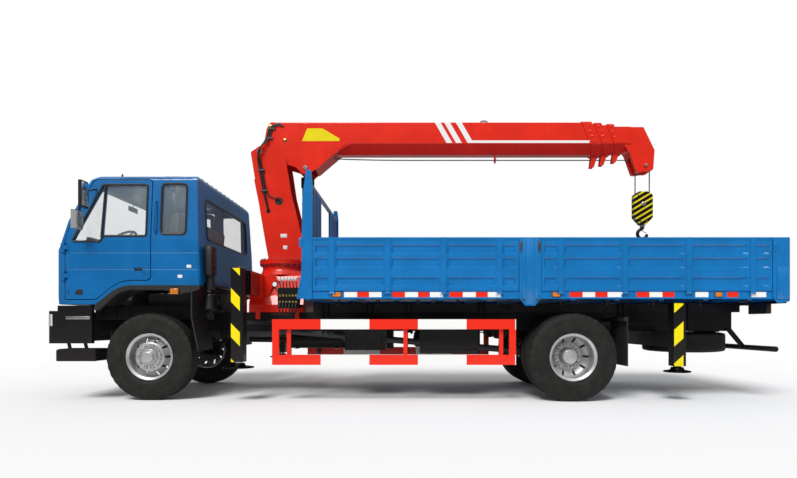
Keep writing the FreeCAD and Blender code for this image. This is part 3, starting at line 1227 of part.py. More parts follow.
def outrigger_beam():
    """Left stabiliser beam with the jack's tube welded to its end."""
    half, high = beam_section(0)
    beam = box((OUTRIGGER_BACK - half, OUTRIGGER_BACK + half), (BEAM_INNER_Y, JACKET_Y - JACKET_SIDE / 2 + 5),
               (BEAM_Z - high, BEAM_Z + high))
    hollow = box((OUTRIGGER_BACK - half + 10, OUTRIGGER_BACK + half - 10), (BEAM_INNER_Y - 5, JACKET_Y - JACKET_SIDE / 2),
                 (BEAM_Z - high + 10, BEAM_Z + high - 10))
    heel = box((OUTRIGGER_BACK - 70, OUTRIGGER_BACK + 70), (BEAM_INNER_Y, BEAM_INNER_Y + 60),
               (BEAM_Z + high, BEAM_Z + high + RUN_GAP - SEAT_GAP))
    tube = jack_tube(OUTRIGGER_BACK, (JACKET_BOTTOM, JACKET_TOP))
    return fused([beam.cut(hollow), heel, tube])


JACK_BORE = 52
JACK_ROD = 45
JACK_STROKE = 380


def jack_tube(behind, z):
    """Square tube, bored for the jack's rod, open below."""
    half = JACKET_SIDE / 2
    tube = plan_prism([(behind - half, JACKET_Y - half, 12), (behind - half, JACKET_Y + half, 12),
                       (behind + half, JACKET_Y + half, 12), (behind + half, JACKET_Y - half, 12)], z)
    bore = Part.makeCylinder(JACK_ROD + PIN_CLEARANCE, z[1] - z[0] - 40, Vector(x_at(behind), JACKET_Y, z[0] - 1))
    return tube.cut(bore)


def jack_leg(behind, tube_bottom, foot_z, foot_radius):
    """Jack rod with its round foot."""
    rod_piece = Part.makeCylinder(JACK_ROD, JACK_STROKE + 180 + tube_bottom - foot_z,
                                  Vector(x_at(behind), JACKET_Y, foot_z))
    foot = turned_upright([(foot_z, 0), (foot_z, foot_radius, 6), (foot_z + 16, foot_radius, 6),
                           (foot_z + 30, 80, 20), (foot_z + 60, 70), (foot_z + 60, 0)], behind, JACKET_Y)
    return fused([rod_piece, foot])


REAR_BOX_Z = (RAIL_BOTTOM - 190, RAIL_BOTTOM)


def rear_outrigger_box():
    """Cross beam under the rails with a jack tube at each end."""
    pieces = [box((REAR_JACKET_BACK - 70, REAR_JACKET_BACK + 70), (-JACKET_Y, JACKET_Y), REAR_BOX_Z)]
    tubes = jack_tube(REAR_JACKET_BACK, (REAR_JACKET_BOTTOM, REAR_JACKET_TOP))
    bore = Part.makeCylinder(JACK_ROD + PIN_CLEARANCE, REAR_JACKET_TOP - REAR_JACKET_BOTTOM - 40,
                             Vector(x_at(REAR_JACKET_BACK), JACKET_Y, REAR_JACKET_BOTTOM - 1))
    whole = fused(pieces + [tubes, mirrored(tubes)])
    return whole.cut([bore, mirrored(bore)])


CONTROLS_Y = 985
LEVER_COUNT = 6


def crane_controls():
    """Valve bank on a shelf of the base at the left, and its row of levers again at the right."""
    pieces = []
    for side, depth, top in ((1, 90, 1370), (-1, 60, 1330)):
        pieces.append(box((1530, 1790), (side * (CONTROLS_Y - depth), side * CONTROLS_Y), (1120, top)))
        pieces.append(box((1560, 1740), (side * (PEDESTAL_HALF_WIDTH + 60), side * (CONTROLS_Y - depth + 5)),
                          (1142, 1176)))
        for behind in spread(1560, 1760, LEVER_COUNT):
            knob = (behind, side * (CONTROLS_Y + 40), top + 100)
            pieces.append(rod((behind, side * (CONTROLS_Y - 30), top - 20), knob, 6))
            pieces.append(Part.makeSphere(14, Vector(x_at(knob[0]), knob[1], knob[2])))
    return fused(pieces)


# ---- Crane column ----

SLOT_HALF_WIDTH = COLUMN_HALF_WIDTH - COLUMN_PLATE
SLOT_FLOOR_Z = PIVOT_Z - 330
PIVOT_PIN_RADIUS = 40
LIFT_PIN_RADIUS = 34
PIVOT_BOSS_RADIUS = 78


def crane_column():
    """Leaning box column: two full cheeks, a box core between them, a slot at the top for the boom's root
    and one at the back for the lift cylinder, with the pins of both."""
    base = SLEW_RING_Z + SEAT_GAP
    cheek_outline = [(1230, base), (1186, 2000), (1117, 2400), (977, PIVOT_Z - 5, 25), (1085, PIVOT_Z + 65, 40),
                     (1250, PIVOT_Z + 60, 100), (1457, PIVOT_Z - 95, 60), (1527, PIVOT_Z - 565, 150),
                     (1670, LIFT_FOOT_Z + 165, 120), (LIFT_FOOT_BACK + 60, LIFT_FOOT_Z + 75, 40),
                     (LIFT_FOOT_BACK + 65, LIFT_FOOT_Z - 70, 40), (1740, base)]
    core_outline = [(1232, base), (1188, 2000), (1119, 2400), (1020, SLOT_FLOOR_Z - 50), (1060, SLOT_FLOOR_Z, 30),
                    (1430, SLOT_FLOOR_Z, 30), (1500, SLOT_FLOOR_Z - 350), (1560, LIFT_FOOT_Z + 115), (1590, base)]
    half = COLUMN_HALF_WIDTH
    cheeks = [side_prism(cheek_outline, (side * SLOT_HALF_WIDTH, side * half)) for side in (-1, 1)]
    core = side_prism(core_outline, (-SLOT_HALF_WIDTH, SLOT_HALF_WIDTH))
    inset = side_face(core_outline).makeOffset2D(-COLUMN_PLATE).Faces[0]
    inset.translate(Vector(0, -SLOT_HALF_WIDTH, 0))
    core = core.cut(inset.extrude(Vector(0, 2 * SLOT_HALF_WIDTH, 0)))
    foot = Part.makeCylinder(SLEW_RING_RADIUS, FLANGE_THICKNESS, Vector(x_at(SLEW_BACK), 0, base))
    pins = [cross_rod(PIVOT_BACK, PIVOT_Z, (-half - 14, half + 14), PIVOT_PIN_RADIUS),
            cross_rod(LIFT_FOOT_BACK, LIFT_FOOT_Z, (-half - 10, half + 10), LIFT_PIN_RADIUS)]
    portholes = [cross_rod(1365, 2600, (half - 6, half + 20), 55), cross_rod(1220, 2465, (half - 6, half + 20), 30)]
    collars = [cross_rod(PIVOT_BACK, PIVOT_Z, (side * half, side * (half + 8)), 62) for side in (-1, 1)]
    return less(fused(cheeks + [core, foot] + pins + collars), portholes)


# ---- Boom ----

BOOM_SLANT = 165
BOOM_COLLAR = 135
INNER_COLLAR = 95
OUTER_LIP, INNER_LIP = 12, 11
COLLAR_START = BOOM_MOUTH_BACK - 180
SECTION_STEP = BOOM_PLATE + SECTION_GAP
TELESCOPE_STROKE = 2700
BOOM_TUBE_START = 1300
LIFTING_EYE_BACK = 4190
LIFTING_EYE_Z = BOOM_TOP_Z + 38
LIFTING_EYE_HALF = 8
LIFTING_EYE_BORE = 28
ROOT_PLATE = 15


def boom_section(inset, start, end):
    """Six-sided boom section shrunk by an inset: flat top, upright sides and a narrower bottom."""
    half, low = BOOM_HALF_WIDTH, BOOM_BOTTOM_HALF_WIDTH
    corners = [(-half, BOOM_TOP_Z, 14), (half, BOOM_TOP_Z, 14), (half, BOOM_SIDE_Z, 20), (low, BOOM_BOTTOM_Z, 20),
               (-low, BOOM_BOTTOM_Z, 20), (-half, BOOM_SIDE_Z, 20)]
    face = Part.Face(rounded_wire(corners, lambda p: Vector(x_at(end), p.x, p.y)))
    if inset:
        face = face.makeOffset2D(-inset).Faces[0]
    return face.extrude(Vector(end - start, 0, 0))


def slanted(start, length, low=BOOM_BOTTOM_Z - 60, high=BOOM_TOP_Z + 60):
    """Band across the boom that leans forward towards the bottom, start being its place at the boom's top."""
    reach = BOOM_SLANT * (high - low) / (BOOM_TOP_Z - BOOM_BOTTOM_Z)
    top = start - BOOM_SLANT * (high - BOOM_TOP_Z) / (BOOM_TOP_Z - BOOM_BOTTOM_Z)
    return side_prism([(top, high), (top + length, high), (top + length + reach, low), (top + reach, low)],
                      (-BOOM_HALF_WIDTH - 40, BOOM_HALF_WIDTH + 40))


def rope_guide(start, bottom, top):
    """Pair of raked teeth under a section's mouth that keep the hoist rope between them."""
    teeth = [side_prism([(start + 10, top), (start + 95, top), (start + 40, bottom), (start - 10, bottom)],
                        (side * 28, side * 44)) for side in (-1, 1)]
    return teeth


def section_tube(index, tail, collar_start, collar_length):
    """One box section of the boom with its mouth collar; index 0 is the outermost."""
    inset = index * SECTION_STEP
    end = collar_start + collar_length + BOOM_SLANT + 40
    outer = boom_section(inset, tail, end)
    collar = boom_section(inset - (INNER_LIP if index else OUTER_LIP), collar_start - 60, end)
    collar = collar.common(slanted(collar_start, collar_length))
    bore = boom_section(inset + BOOM_PLATE, tail - 10 if index else tail + 20, end + 10)
    beyond = slanted(collar_start + collar_length, 900)
    tube = fused([outer, collar]).cut([bore, beyond])
    return tube


def slide_pads(index, mouth):
    """Bearing pads inside a section's mouth, over and under the section that slides in it."""
    top = BOOM_TOP_Z - index * SECTION_STEP - BOOM_PLATE
    low = BOOM_BOTTOM_Z + index * SECTION_STEP + BOOM_PLATE
    thick = SECTION_GAP - SEAT_GAP
    return [box((mouth - 90, mouth - 30), (-60, 60), (top - thick, top + 1)),
            box((mouth + BOOM_SLANT - 90, mouth + BOOM_SLANT - 30), (-40, 40), (low - 1, low + thick))]


def root_outline():
    """Side view of the boom's knee, from the pivot round under the lift cylinder's pin."""
    return [(BOOM_TUBE_START, BOOM_TOP_Z - 2), (1235, BOOM_TOP_Z - 2, 40), (1185, BOOM_TOP_Z - 95, 60),
            (1150, BOOM_TOP_Z - 295, 40), (PIVOT_BACK - 62, PIVOT_Z + 60, 30), (PIVOT_BACK - 50, PIVOT_Z - 66, 60),
            (PIVOT_BACK + 60, PIVOT_Z - 72, 60), (LIFT_PIN_BACK - 129, LIFT_PIN_Z + 7, 60), (LIFT_PIN_BACK - 45, LIFT_PIN_Z - 78, 30), (LIFT_PIN_BACK + 60, LIFT_PIN_Z - 82, 30),
            (LIFT_PIN_BACK + 111, LIFT_PIN_Z - 38, 80), (LIFT_PIN_BACK + 451, BOOM_BOTTOM_Z + 45, 200),
            (LIFT_PIN_BACK + 601, BOOM_SIDE_Z + 5), (LIFT_PIN_BACK + 601, BOOM_TOP_Z - 40),
            (BOOM_TUBE_START, BOOM_TOP_Z - 40)]


def main_boom():
    """Outermost section with the knee plates, pivot boss, lift pin stubs, lifting eye and rope guide."""
    tube = section_tube(0, BOOM_TUBE_START, COLLAR_START, BOOM_COLLAR)
    half = BOOM_HALF_WIDTH
    pieces = [tube] + slide_pads(0, COLLAR_START + BOOM_COLLAR) + rope_guide(
        COLLAR_START + 170, BOOM_BOTTOM_Z - 165, BOOM_BOTTOM_Z + 4)
    for side in (-1, 1):
        pieces.append(side_prism(root_outline(), (side * (half - ROOT_PLATE), side * half)))
        pieces.append(cross_rod(LIFT_PIN_BACK, LIFT_PIN_Z, (side * 62, side * (half + 8)), LIFT_PIN_RADIUS))
        pieces.append(cross_rod(LIFT_PIN_BACK, LIFT_PIN_Z, (side * 62, side * (half - ROOT_PLATE)), 60))
    pieces.append(cross_rod(PIVOT_BACK, PIVOT_Z, (-half - 12, half + 12), PIVOT_BOSS_RADIUS))
    back_plate = side_prism([(1235, BOOM_TOP_Z - 2, 40), (1185, BOOM_TOP_Z - 95, 60), (1150, BOOM_TOP_Z - 295, 40),
                             (1130, BOOM_TOP_Z - 345), (1150, BOOM_TOP_Z - 350), (1168, BOOM_TOP_Z - 299, 40),
                             (1203, BOOM_TOP_Z - 97, 60), (1253, BOOM_TOP_Z - 20),
                             (BOOM_TUBE_START + 5, BOOM_TOP_Z - 20), (BOOM_TUBE_START + 5, BOOM_TOP_Z - 2)],
                            (-half + 1, half - 1))
    flange = side_prism([(LIFT_PIN_BACK + 131, LIFT_PIN_Z - 22), (LIFT_PIN_BACK + 441, BOOM_BOTTOM_Z + 35, 200),
                         (LIFT_PIN_BACK + 611, BOOM_SIDE_Z - 3), (LIFT_PIN_BACK + 611, BOOM_SIDE_Z - 17),
                         (LIFT_PIN_BACK + 445, BOOM_BOTTOM_Z + 21, 200), (LIFT_PIN_BACK + 139, LIFT_PIN_Z - 32)],
                        (-half + 1, half - 1))
    flange = flange.cut(boom_section(0, 1600, 2500))
    pieces += [back_plate, flange]
    eye = side_prism([(LIFTING_EYE_BACK - 75, BOOM_TOP_Z - 4), (LIFTING_EYE_BACK - 55, LIFTING_EYE_Z + 46, 50),
                      (LIFTING_EYE_BACK + 55, LIFTING_EYE_Z + 46, 50), (LIFTING_EYE_BACK + 75, BOOM_TOP_Z - 4)],
                     (-LIFTING_EYE_HALF, LIFTING_EYE_HALF))
    eye = eye.cut(cross_rod(LIFTING_EYE_BACK, LIFTING_EYE_Z, (-BOOM_HALF_WIDTH, BOOM_HALF_WIDTH), LIFTING_EYE_BORE))
    guide = front_prism([(-60, BOOM_BOTTOM_Z + 4), (-60, BOOM_BOTTOM_Z - 90, 15), (60, BOOM_BOTTOM_Z - 90, 15),
                         (60, BOOM_BOTTOM_Z + 4)], (4340, 4355))
    guide_hole = cross_hole_along(4347, BOOM_BOTTOM_Z - 45, 20)
    whole = fused(pieces + [eye, guide.cut(guide_hole)])
    return whole.cut(cross_rod(PIVOT_BACK, PIVOT_Z, (-half - 20, half + 20), PIVOT_PIN_RADIUS + PIN_CLEARANCE))


def cross_hole_along(behind, z, radius):
    """Round hole that runs along the truck."""
    return Part.makeCylinder(radius, 100, Vector(x_at(behind) - 50, 0, z), Vector(1, 0, 0))


def tail_pads(index, tail):
    """Bearing pads on a section's tail, against the section round it."""
    inset = index * SECTION_STEP
    top, low = BOOM_TOP_Z - inset, BOOM_BOTTOM_Z + inset
    thick = SECTION_GAP - SEAT_GAP
    return [box((tail, tail + 80), (-60, 60), (top - 1, top + thick)),
            box((tail, tail + 80), (-40, 40), (low - thick, low + 1))]


SECTION_TAILS = (BOOM_TUBE_START, 1500, 1700, 1900)
GUIDE_BOTTOMS = (BOOM_BOTTOM_Z - 165, BOOM_BOTTOM_Z - 135, BOOM_BOTTOM_Z - 95)


def collar_place(index):
    return COLLAR_START + BOOM_COLLAR + 40 + (index - 1) * (INNER_COLLAR + 75) if index else COLLAR_START


def boom_extension(index):
    """Middle telescope section."""
    start = collar_place(index)
    tail = SECTION_TAILS[index]
    tube = section_tube(index, tail, start, INNER_COLLAR)
    guides = rope_guide(start + 130, GUIDE_BOTTOMS[index], BOOM_BOTTOM_Z + index * SECTION_STEP + 4)
    return fused([tube] + slide_pads(index, start + INNER_COLLAR) + tail_pads(index, tail) + guides)


HEAD_TOP = BOOM_TOP_Z - 3 * SECTION_STEP
HEAD_FRONT = 6085
SHEAVE_BACK = 6413
SHEAVE_Z = BOOM_TOP_Z - 575
HEAD_HALF_WIDTH = 112
ROPE_RADIUS = 8
SHEAVE_WIDTH = 34


def boom_head():
    """Innermost telescope section with the head, its rope sheave and the slot it runs in."""
    inset = 3 * SECTION_STEP
    outer = boom_section(inset, SECTION_TAILS[3], HEAD_FRONT + 120)
    bore = boom_section(inset + BOOM_PLATE, SECTION_TAILS[3] - 5, HEAD_FRONT + 20)
    outline = [(HEAD_FRONT, HEAD_TOP - 1), (HEAD_BACK - 131, HEAD_TOP - 1, 25), (HEAD_BACK + 24, SHEAVE_Z + 210, 60),
               (HEAD_BACK + 4, SHEAVE_Z - 70, 40), (HEAD_BACK - 226, SHEAVE_Z - 100, 30),
               (HEAD_BACK - 326, SHEAVE_Z + 180, 40), (HEAD_FRONT + 30, HEAD_TOP - 250)]
    head = side_prism(outline, (-HEAD_HALF_WIDTH, HEAD_HALF_WIDTH))
    slot = box((HEAD_BACK - 366, HEAD_BACK + 60), (-56, 56), (SHEAVE_Z - 140, SHEAVE_Z + 120))
    pin = cross_rod(SHEAVE_BACK, SHEAVE_Z, (-HEAD_HALF_WIDTH - 10, HEAD_HALF_WIDTH + 10), 24)
    sheave = turned_across([(-SHEAVE_WIDTH / 2, 0), (-SHEAVE_WIDTH / 2, HEAD_SHEAVE_RADIUS + 8),
                            (-ROPE_RADIUS, HEAD_SHEAVE_RADIUS - ROPE_RADIUS - SEAT_GAP),
                            (ROPE_RADIUS, HEAD_SHEAVE_RADIUS - ROPE_RADIUS - SEAT_GAP),
                            (SHEAVE_WIDTH / 2, HEAD_SHEAVE_RADIUS + 8), (SHEAVE_WIDTH / 2, 0)], SHEAVE_BACK, SHEAVE_Z)
    body = fused([outer, head]).cut([bore, slot])
    return fused([body, pin, sheave] + tail_pads(3, SECTION_TAILS[3]))


BLOCK_TOP = SHEAVE_Z - 346
BLOCK_BOTTOM = BLOCK_TOP - 461
BLOCK_HALF_WIDTH = 130
BLOCK_HALF_DEPTH = 48


def hook_block():
    """Two rope falls, the block's cheeks round its sheave, and the hook with its swivel."""
    falls = [rod((SHEAVE_BACK + side * HEAD_SHEAVE_RADIUS, 0, SHEAVE_Z),
                 (SHEAVE_BACK + side * HEAD_SHEAVE_RADIUS, 0, BLOCK_TOP - 114), ROPE_RADIUS) for side in (-1, 1)]
    low, high = SHEAVE_BACK - BLOCK_HALF_WIDTH, SHEAVE_BACK + BLOCK_HALF_WIDTH
    body = side_prism([(low, BLOCK_TOP - 40, 60), (low + 70, BLOCK_TOP, 60), (high - 70, BLOCK_TOP, 60),
                       (high, BLOCK_TOP - 40, 60), (high, BLOCK_BOTTOM + 100, 20), (high - 90, BLOCK_BOTTOM, 20),
                       (low + 90, BLOCK_BOTTOM, 20), (low, BLOCK_BOTTOM + 100, 20)],
                      (-BLOCK_HALF_DEPTH, BLOCK_HALF_DEPTH))
    throat = box((low + 10, high - 10), (-14, 14), (BLOCK_TOP - 114, BLOCK_TOP + 20))
    shank = rod((SHEAVE_BACK, 0, BLOCK_BOTTOM - 60), (SHEAVE_BACK, 0, BLOCK_BOTTOM + 20), 26)
    return fused([body.cut(throat), shank, load_hook()] + falls)


HOOK_BOWL = 66               # middle of the hook's bar, from the middle of its bowl
HOOK_BAR = 22
HOOK_SWEEP = 250


def load_hook():
    """Forged hook: its bar runs from the shank round the bowl to a rounded point."""
    centre = Vector(x_at(SHEAVE_BACK), 0, BLOCK_BOTTOM - 60 - HOOK_BOWL)
    bowl = Part.makeTorus(HOOK_BOWL, HOOK_BAR, Vector(0, 0, 0), Vector(0, 0, 1), 0, 360, HOOK_SWEEP)
    bowl.rotate(Vector(0, 0, 0), Vector(1, 0, 0), 90)
    point = Part.makeSphere(HOOK_BAR, Vector(HOOK_BOWL, 0, 0))
    for piece, turn in ((bowl, -90 + HOOK_SWEEP), (point, -90 + HOOK_SWEEP)):
        piece.rotate(Vector(0, 0, 0), Vector(0, 1, 0), turn)
        piece.translate(centre)
    return fused([bowl, point])


# ---- Lift cylinder ----

BARREL_RADIUS = 80
BARREL_BORE = 55
ROD_RADIUS = 45
GLAND_RADIUS = 92
GLAND_TOP = LIFT_PIN_Z - 103
BARREL_EYE_RADIUS = 68
ROD_EYE_RADIUS = 66


def along_cylinder(distance):
    """Point on the lift cylinder's axis, measured from its foot pin."""
    foot = Vector(x_at(LIFT_FOOT_BACK), 0, LIFT_FOOT_Z)
    head = Vector(x_at(LIFT_PIN_BACK), 0, LIFT_PIN_Z)
    return foot + (head - foot).normalize() * distance


def bar_along(start, end, radius):
    foot = along_cylinder(start)
    return Part.makeCylinder(radius, end - start, foot, along_cylinder(end) - foot)


def lift_barrel():
    """Barrel with its foot eye and gland nut, bored for the rod."""
    length = GLAND_TOP - LIFT_FOOT_Z
    eye = cross_rod(LIFT_FOOT_BACK, LIFT_FOOT_Z, (-SLOT_HALF_WIDTH + 8, SLOT_HALF_WIDTH - 8), BARREL_EYE_RADIUS)
    body = fused([eye, bar_along(40, length, BARREL_RADIUS), bar_along(length - 130, length, GLAND_RADIUS)])
    hole = cross_rod(LIFT_FOOT_BACK, LIFT_FOOT_Z, (-SLOT_HALF_WIDTH, SLOT_HALF_WIDTH), LIFT_PIN_RADIUS + PIN_CLEARANCE)
    return body.cut([bar_along(95, length + 10, ROD_RADIUS + PIN_CLEARANCE), hole])


def lift_rod():
    """Chromed rod with its eye between the knee plates."""
    reach = (Vector(LIFT_PIN_BACK, 0, LIFT_PIN_Z) - Vector(LIFT_FOOT_BACK, 0, LIFT_FOOT_Z)).Length
    eye = cross_rod(LIFT_PIN_BACK, LIFT_PIN_Z, (-50, 50), ROD_EYE_RADIUS)
    hole = cross_rod(LIFT_PIN_BACK, LIFT_PIN_Z, (-60, 60), LIFT_PIN_RADIUS)
    return fused([eye, bar_along(100, reach - 20, ROD_RADIUS)]).cut(hole)


WINCH_BACK, WINCH_Z = 1860, BOOM_BOTTOM_Z - 90


def winch():
    """Rope drum in the knee, between its plates."""
    reach = BOOM_HALF_WIDTH - ROOT_PLATE
    return turned_across([(-reach, 0), (-reach, 30), (-reach + 25, 30), (-reach + 25, 80), (-reach + 35, 80),
                          (-reach + 35, 60), (reach - 60, 60), (reach - 60, 80), (reach - 50, 80), (reach - 50, 45),
                          (reach, 45), (reach, 0)], WINCH_BACK, WINCH_Z)


# ---- Sub-parts, one file each ----

def write_parts():
    os.makedirs("parts", exist_ok=True)
    skin, pane_skin = cab_layer(0, CAB_WALL), cab_layer(GLASS_INSET, GLASS_INSET + GLASS_THICKNESS)
    save("chassis_frame", chassis_frame())
    save("engine_block", engine_block())
    save("driveline", driveline())
    save("exhaust", exhaust())
    save("leaf_springs", *leaf_springs())
    save("axles", front_axle(), rear_axle())
    save("front_bumper", bumper())
    save("lamps", *lamps())
    save("side_tanks", *side_tanks())
    save("side_guards", *side_guards())
    save("rear_underrun", rear_underrun())
    save("mud_flaps", *mud_flaps())
    save("spare_wheel", *spare_wheel())
    save("bed_floor", bed_floor())
    save("bed_posts", *bed_posts())
    save("headboard", headboard())
    save("tailgate", tailgate())
    for name, span in zip(("front", "rear"), gate_spans()):
        gate = side_gate(span)
        save(f"side_gate_{name}_left", gate)
        save(f"side_gate_{name}_right", mirrored(gate))
    save("cab_shell", cab_shell(skin))
    save("cab_glass", *cab_glass(pane_skin))
    save("cab_grille", cab_grille(skin))
    save("cab_fenders", cab_fenders())
    save("cab_interior", *cab_interior())
    leaf, pane = door(skin), door_glass(pane_skin)
    save("door_left", leaf)
    save("door_right", mirrored(leaf))
    save("door_glass_left", pane)
    save("door_glass_right", mirrored(pane))
    heads = mirror().cut(skin)
    save("mirror_left", heads)
    save("mirror_right", mirrored(heads))
    for side, turn in (("left", lambda shape: shape), ("right", mirrored)):
        save(f"knuckle_{side}", turn(knuckle()))
        save(f"tyre_front_{side}", turn(tyre(FRONT_WHEEL_Y, 0, AXLE_Z)))
        save(f"rim_front_{side}", turn(front_rim()))
        twins = [tyre(y, WHEELBASE, AXLE_Z) for y in (REAR_OUTER_WHEEL_Y, REAR_OUTER_WHEEL_Y - TWIN_SPACING)]
        save(f"tyres_rear_{side}", *[turn(ring) for ring in twins])
        save(f"rims_rear_{side}", turn(rear_rims()))
        save(f"outrigger_beam_{side}", turn(outrigger_beam()))
        save(f"outrigger_leg_front_{side}", turn(jack_leg(OUTRIGGER_BACK, JACKET_BOTTOM, FOOT_Z, FOOT_RADIUS)))
        save(f"outrigger_leg_rear_{side}", turn(jack_leg(REAR_JACKET_BACK, REAR_JACKET_BOTTOM, REAR_FOOT_Z,
                                                         REAR_FOOT_RADIUS)))
    save("crane_base", crane_base())
    save("rear_outrigger_box", rear_outrigger_box())
    save("crane_controls", crane_controls())
    save("crane_column", crane_column())
    save("main_boom", main_boom())
    save("boom_section_2", boom_extension(1))
    save("boom_section_3", boom_extension(2))
    save("boom_head", boom_head())
    save("hook_block", hook_block())
    save("lift_barrel", lift_barrel())
    save("lift_rod", lift_rod())
    save("winch", winch())


write_parts()
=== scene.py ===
# %% [markdown]
# # A truck-mounted loader crane, dressed
# The truck arrives as a fixed frame of plain solids that already have their true sizes and
# joints. This file gives them paint, rubber, glass and steel, and adds the small things that
# a solid model leaves out: tread, bolts, hoses, rope, seals, lamps and levers.
# The real machine is nearly 9 m long, and every size below is in metres.

import math

import bmesh
import bpy
from mathutils import Matrix, Vector
from mathutils.bvhtree import BVHTree


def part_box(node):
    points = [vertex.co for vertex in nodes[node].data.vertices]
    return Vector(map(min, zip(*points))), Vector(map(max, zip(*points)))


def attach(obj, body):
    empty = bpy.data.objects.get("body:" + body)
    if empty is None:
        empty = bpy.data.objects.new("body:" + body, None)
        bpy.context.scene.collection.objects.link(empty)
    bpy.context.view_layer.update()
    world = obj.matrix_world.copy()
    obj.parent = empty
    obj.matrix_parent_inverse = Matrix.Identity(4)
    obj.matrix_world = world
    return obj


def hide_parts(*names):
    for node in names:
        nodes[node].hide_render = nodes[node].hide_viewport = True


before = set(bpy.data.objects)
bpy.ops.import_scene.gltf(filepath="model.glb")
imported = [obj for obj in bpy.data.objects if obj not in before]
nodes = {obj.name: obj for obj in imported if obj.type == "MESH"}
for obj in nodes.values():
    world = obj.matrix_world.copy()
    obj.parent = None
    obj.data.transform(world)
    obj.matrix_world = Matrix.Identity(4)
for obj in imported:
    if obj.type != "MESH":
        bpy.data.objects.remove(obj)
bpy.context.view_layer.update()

# %% [markdown]
# ## Where things are
# Lengths along the truck are easiest to give as a distance behind the front axle, as a
# coachbuilder does. The front rim's own box says where that axle is.

# %% Places along the truck
rim_low, rim_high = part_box("rim_front_left")
FRONT_AXLE_X = (rim_low.x + rim_high.x) / 2
AXLE_Z = (rim_low.z + rim_high.z) / 2


def at(behind, y, z):
    """A point given by its distance behind the front axle, to the left, and up."""
    return Vector((FRONT_AXLE_X - behind, y, z))


print(f"front axle at x {FRONT_AXLE_X:.3f}, z {AXLE_Z:.3f}")

# %% [markdown]
# ## Camera
# The view is a plain side view from about eight metres, at the height of the wheels' tops.
# The frame is shifted up instead of tilting the camera, so that uprights stay upright.

# %% Camera
EYE = at(3.155, 7.9, 0.92)
FRAME_WIDTH, FOCAL_LENGTH = 797, 563            # in the same unit: their ratio sets the lens
camera_data = bpy.data.cameras.new("side_camera")
camera_data.sensor_width = 36
camera_data.lens = 36 * FOCAL_LENGTH / FRAME_WIDTH
camera_data.shift_x, camera_data.shift_y = -0.0144, 0.107
camera = bpy.data.objects.new("side_camera", camera_data)
camera.location = EYE
camera.rotation_euler = (math.pi / 2, 0, math.pi)
bpy.context.scene.collection.objects.link(camera)
bpy.context.scene.camera = camera
bpy.context.scene.view_settings.view_transform = "Standard"
print(f"lens {camera_data.lens:.1f} mm at {tuple(round(v, 2) for v in EYE)}")

# %% [markdown]
# ## Writing materials as sums
# A shader node tree is a formula. A small class that wraps a socket and overloads the usual
# operators lets the formula be written as one, and one method adds every other kind of node.


# %% A socket that can be added, multiplied and compared
class Term:
    """A value inside a material; arithmetic on it adds Math nodes."""

    def __init__(self, tree, socket):
        self.tree, self.socket = tree, socket

    def math(self, operation, *others, clamp=False):
        node = self.tree.nodes.new("ShaderNodeMath")
        node.operation, node.use_clamp = operation, clamp
        for slot, value in zip(node.inputs, (self,) + others):
            join(self.tree, slot, value)
        return Term(self.tree, node.outputs[0])

    def __add__(self, other):
        return self.math("ADD", other)

    def __sub__(self, other):
        return self.math("SUBTRACT", other)

    def __rsub__(self, other):
        return (self * -1) + other

    def __mul__(self, other):
        return self.math("MULTIPLY", other)

    def __truediv__(self, other):
        return self.math("DIVIDE", other)

    def __gt__(self, level):
        return self.math("GREATER_THAN", level)

    def __lt__(self, level):
        return self.math("LESS_THAN", level)

    def __mod__(self, period):
        return self.math("FLOORED_MODULO", period)

    def size(self):
        return self.math("ABSOLUTE")

    def clipped(self):
        return self.math("ADD", 0.0, clamp=True)

    __radd__, __rmul__ = __add__, __mul__


def join(tree, slot, value):
    """Plug a term into a socket, or set the socket's own value."""
    if isinstance(value, Term):
        tree.links.new(value.socket, slot)
    elif slot.type == "RGBA":
        slot.default_value = (*value, 1.0)[:4]
    else:
        slot.default_value = value


print("sockets can be added, multiplied and compared")


# %% Node trees and materials
class Formula:
    """A node tree with one way to add a node: its settings first, then its sockets."""

    def __init__(self, tree):
        self.tree = tree

    def node(self, kind, settings, inputs, output=0):
        made = self.tree.nodes.new(kind)
        for key, value in settings.items():
            setattr(made, key, value)
        for key, value in inputs.items():
            join(self.tree, made.inputs[key], value)
        return Term(self.tree, made.outputs[output]) if made.outputs else made


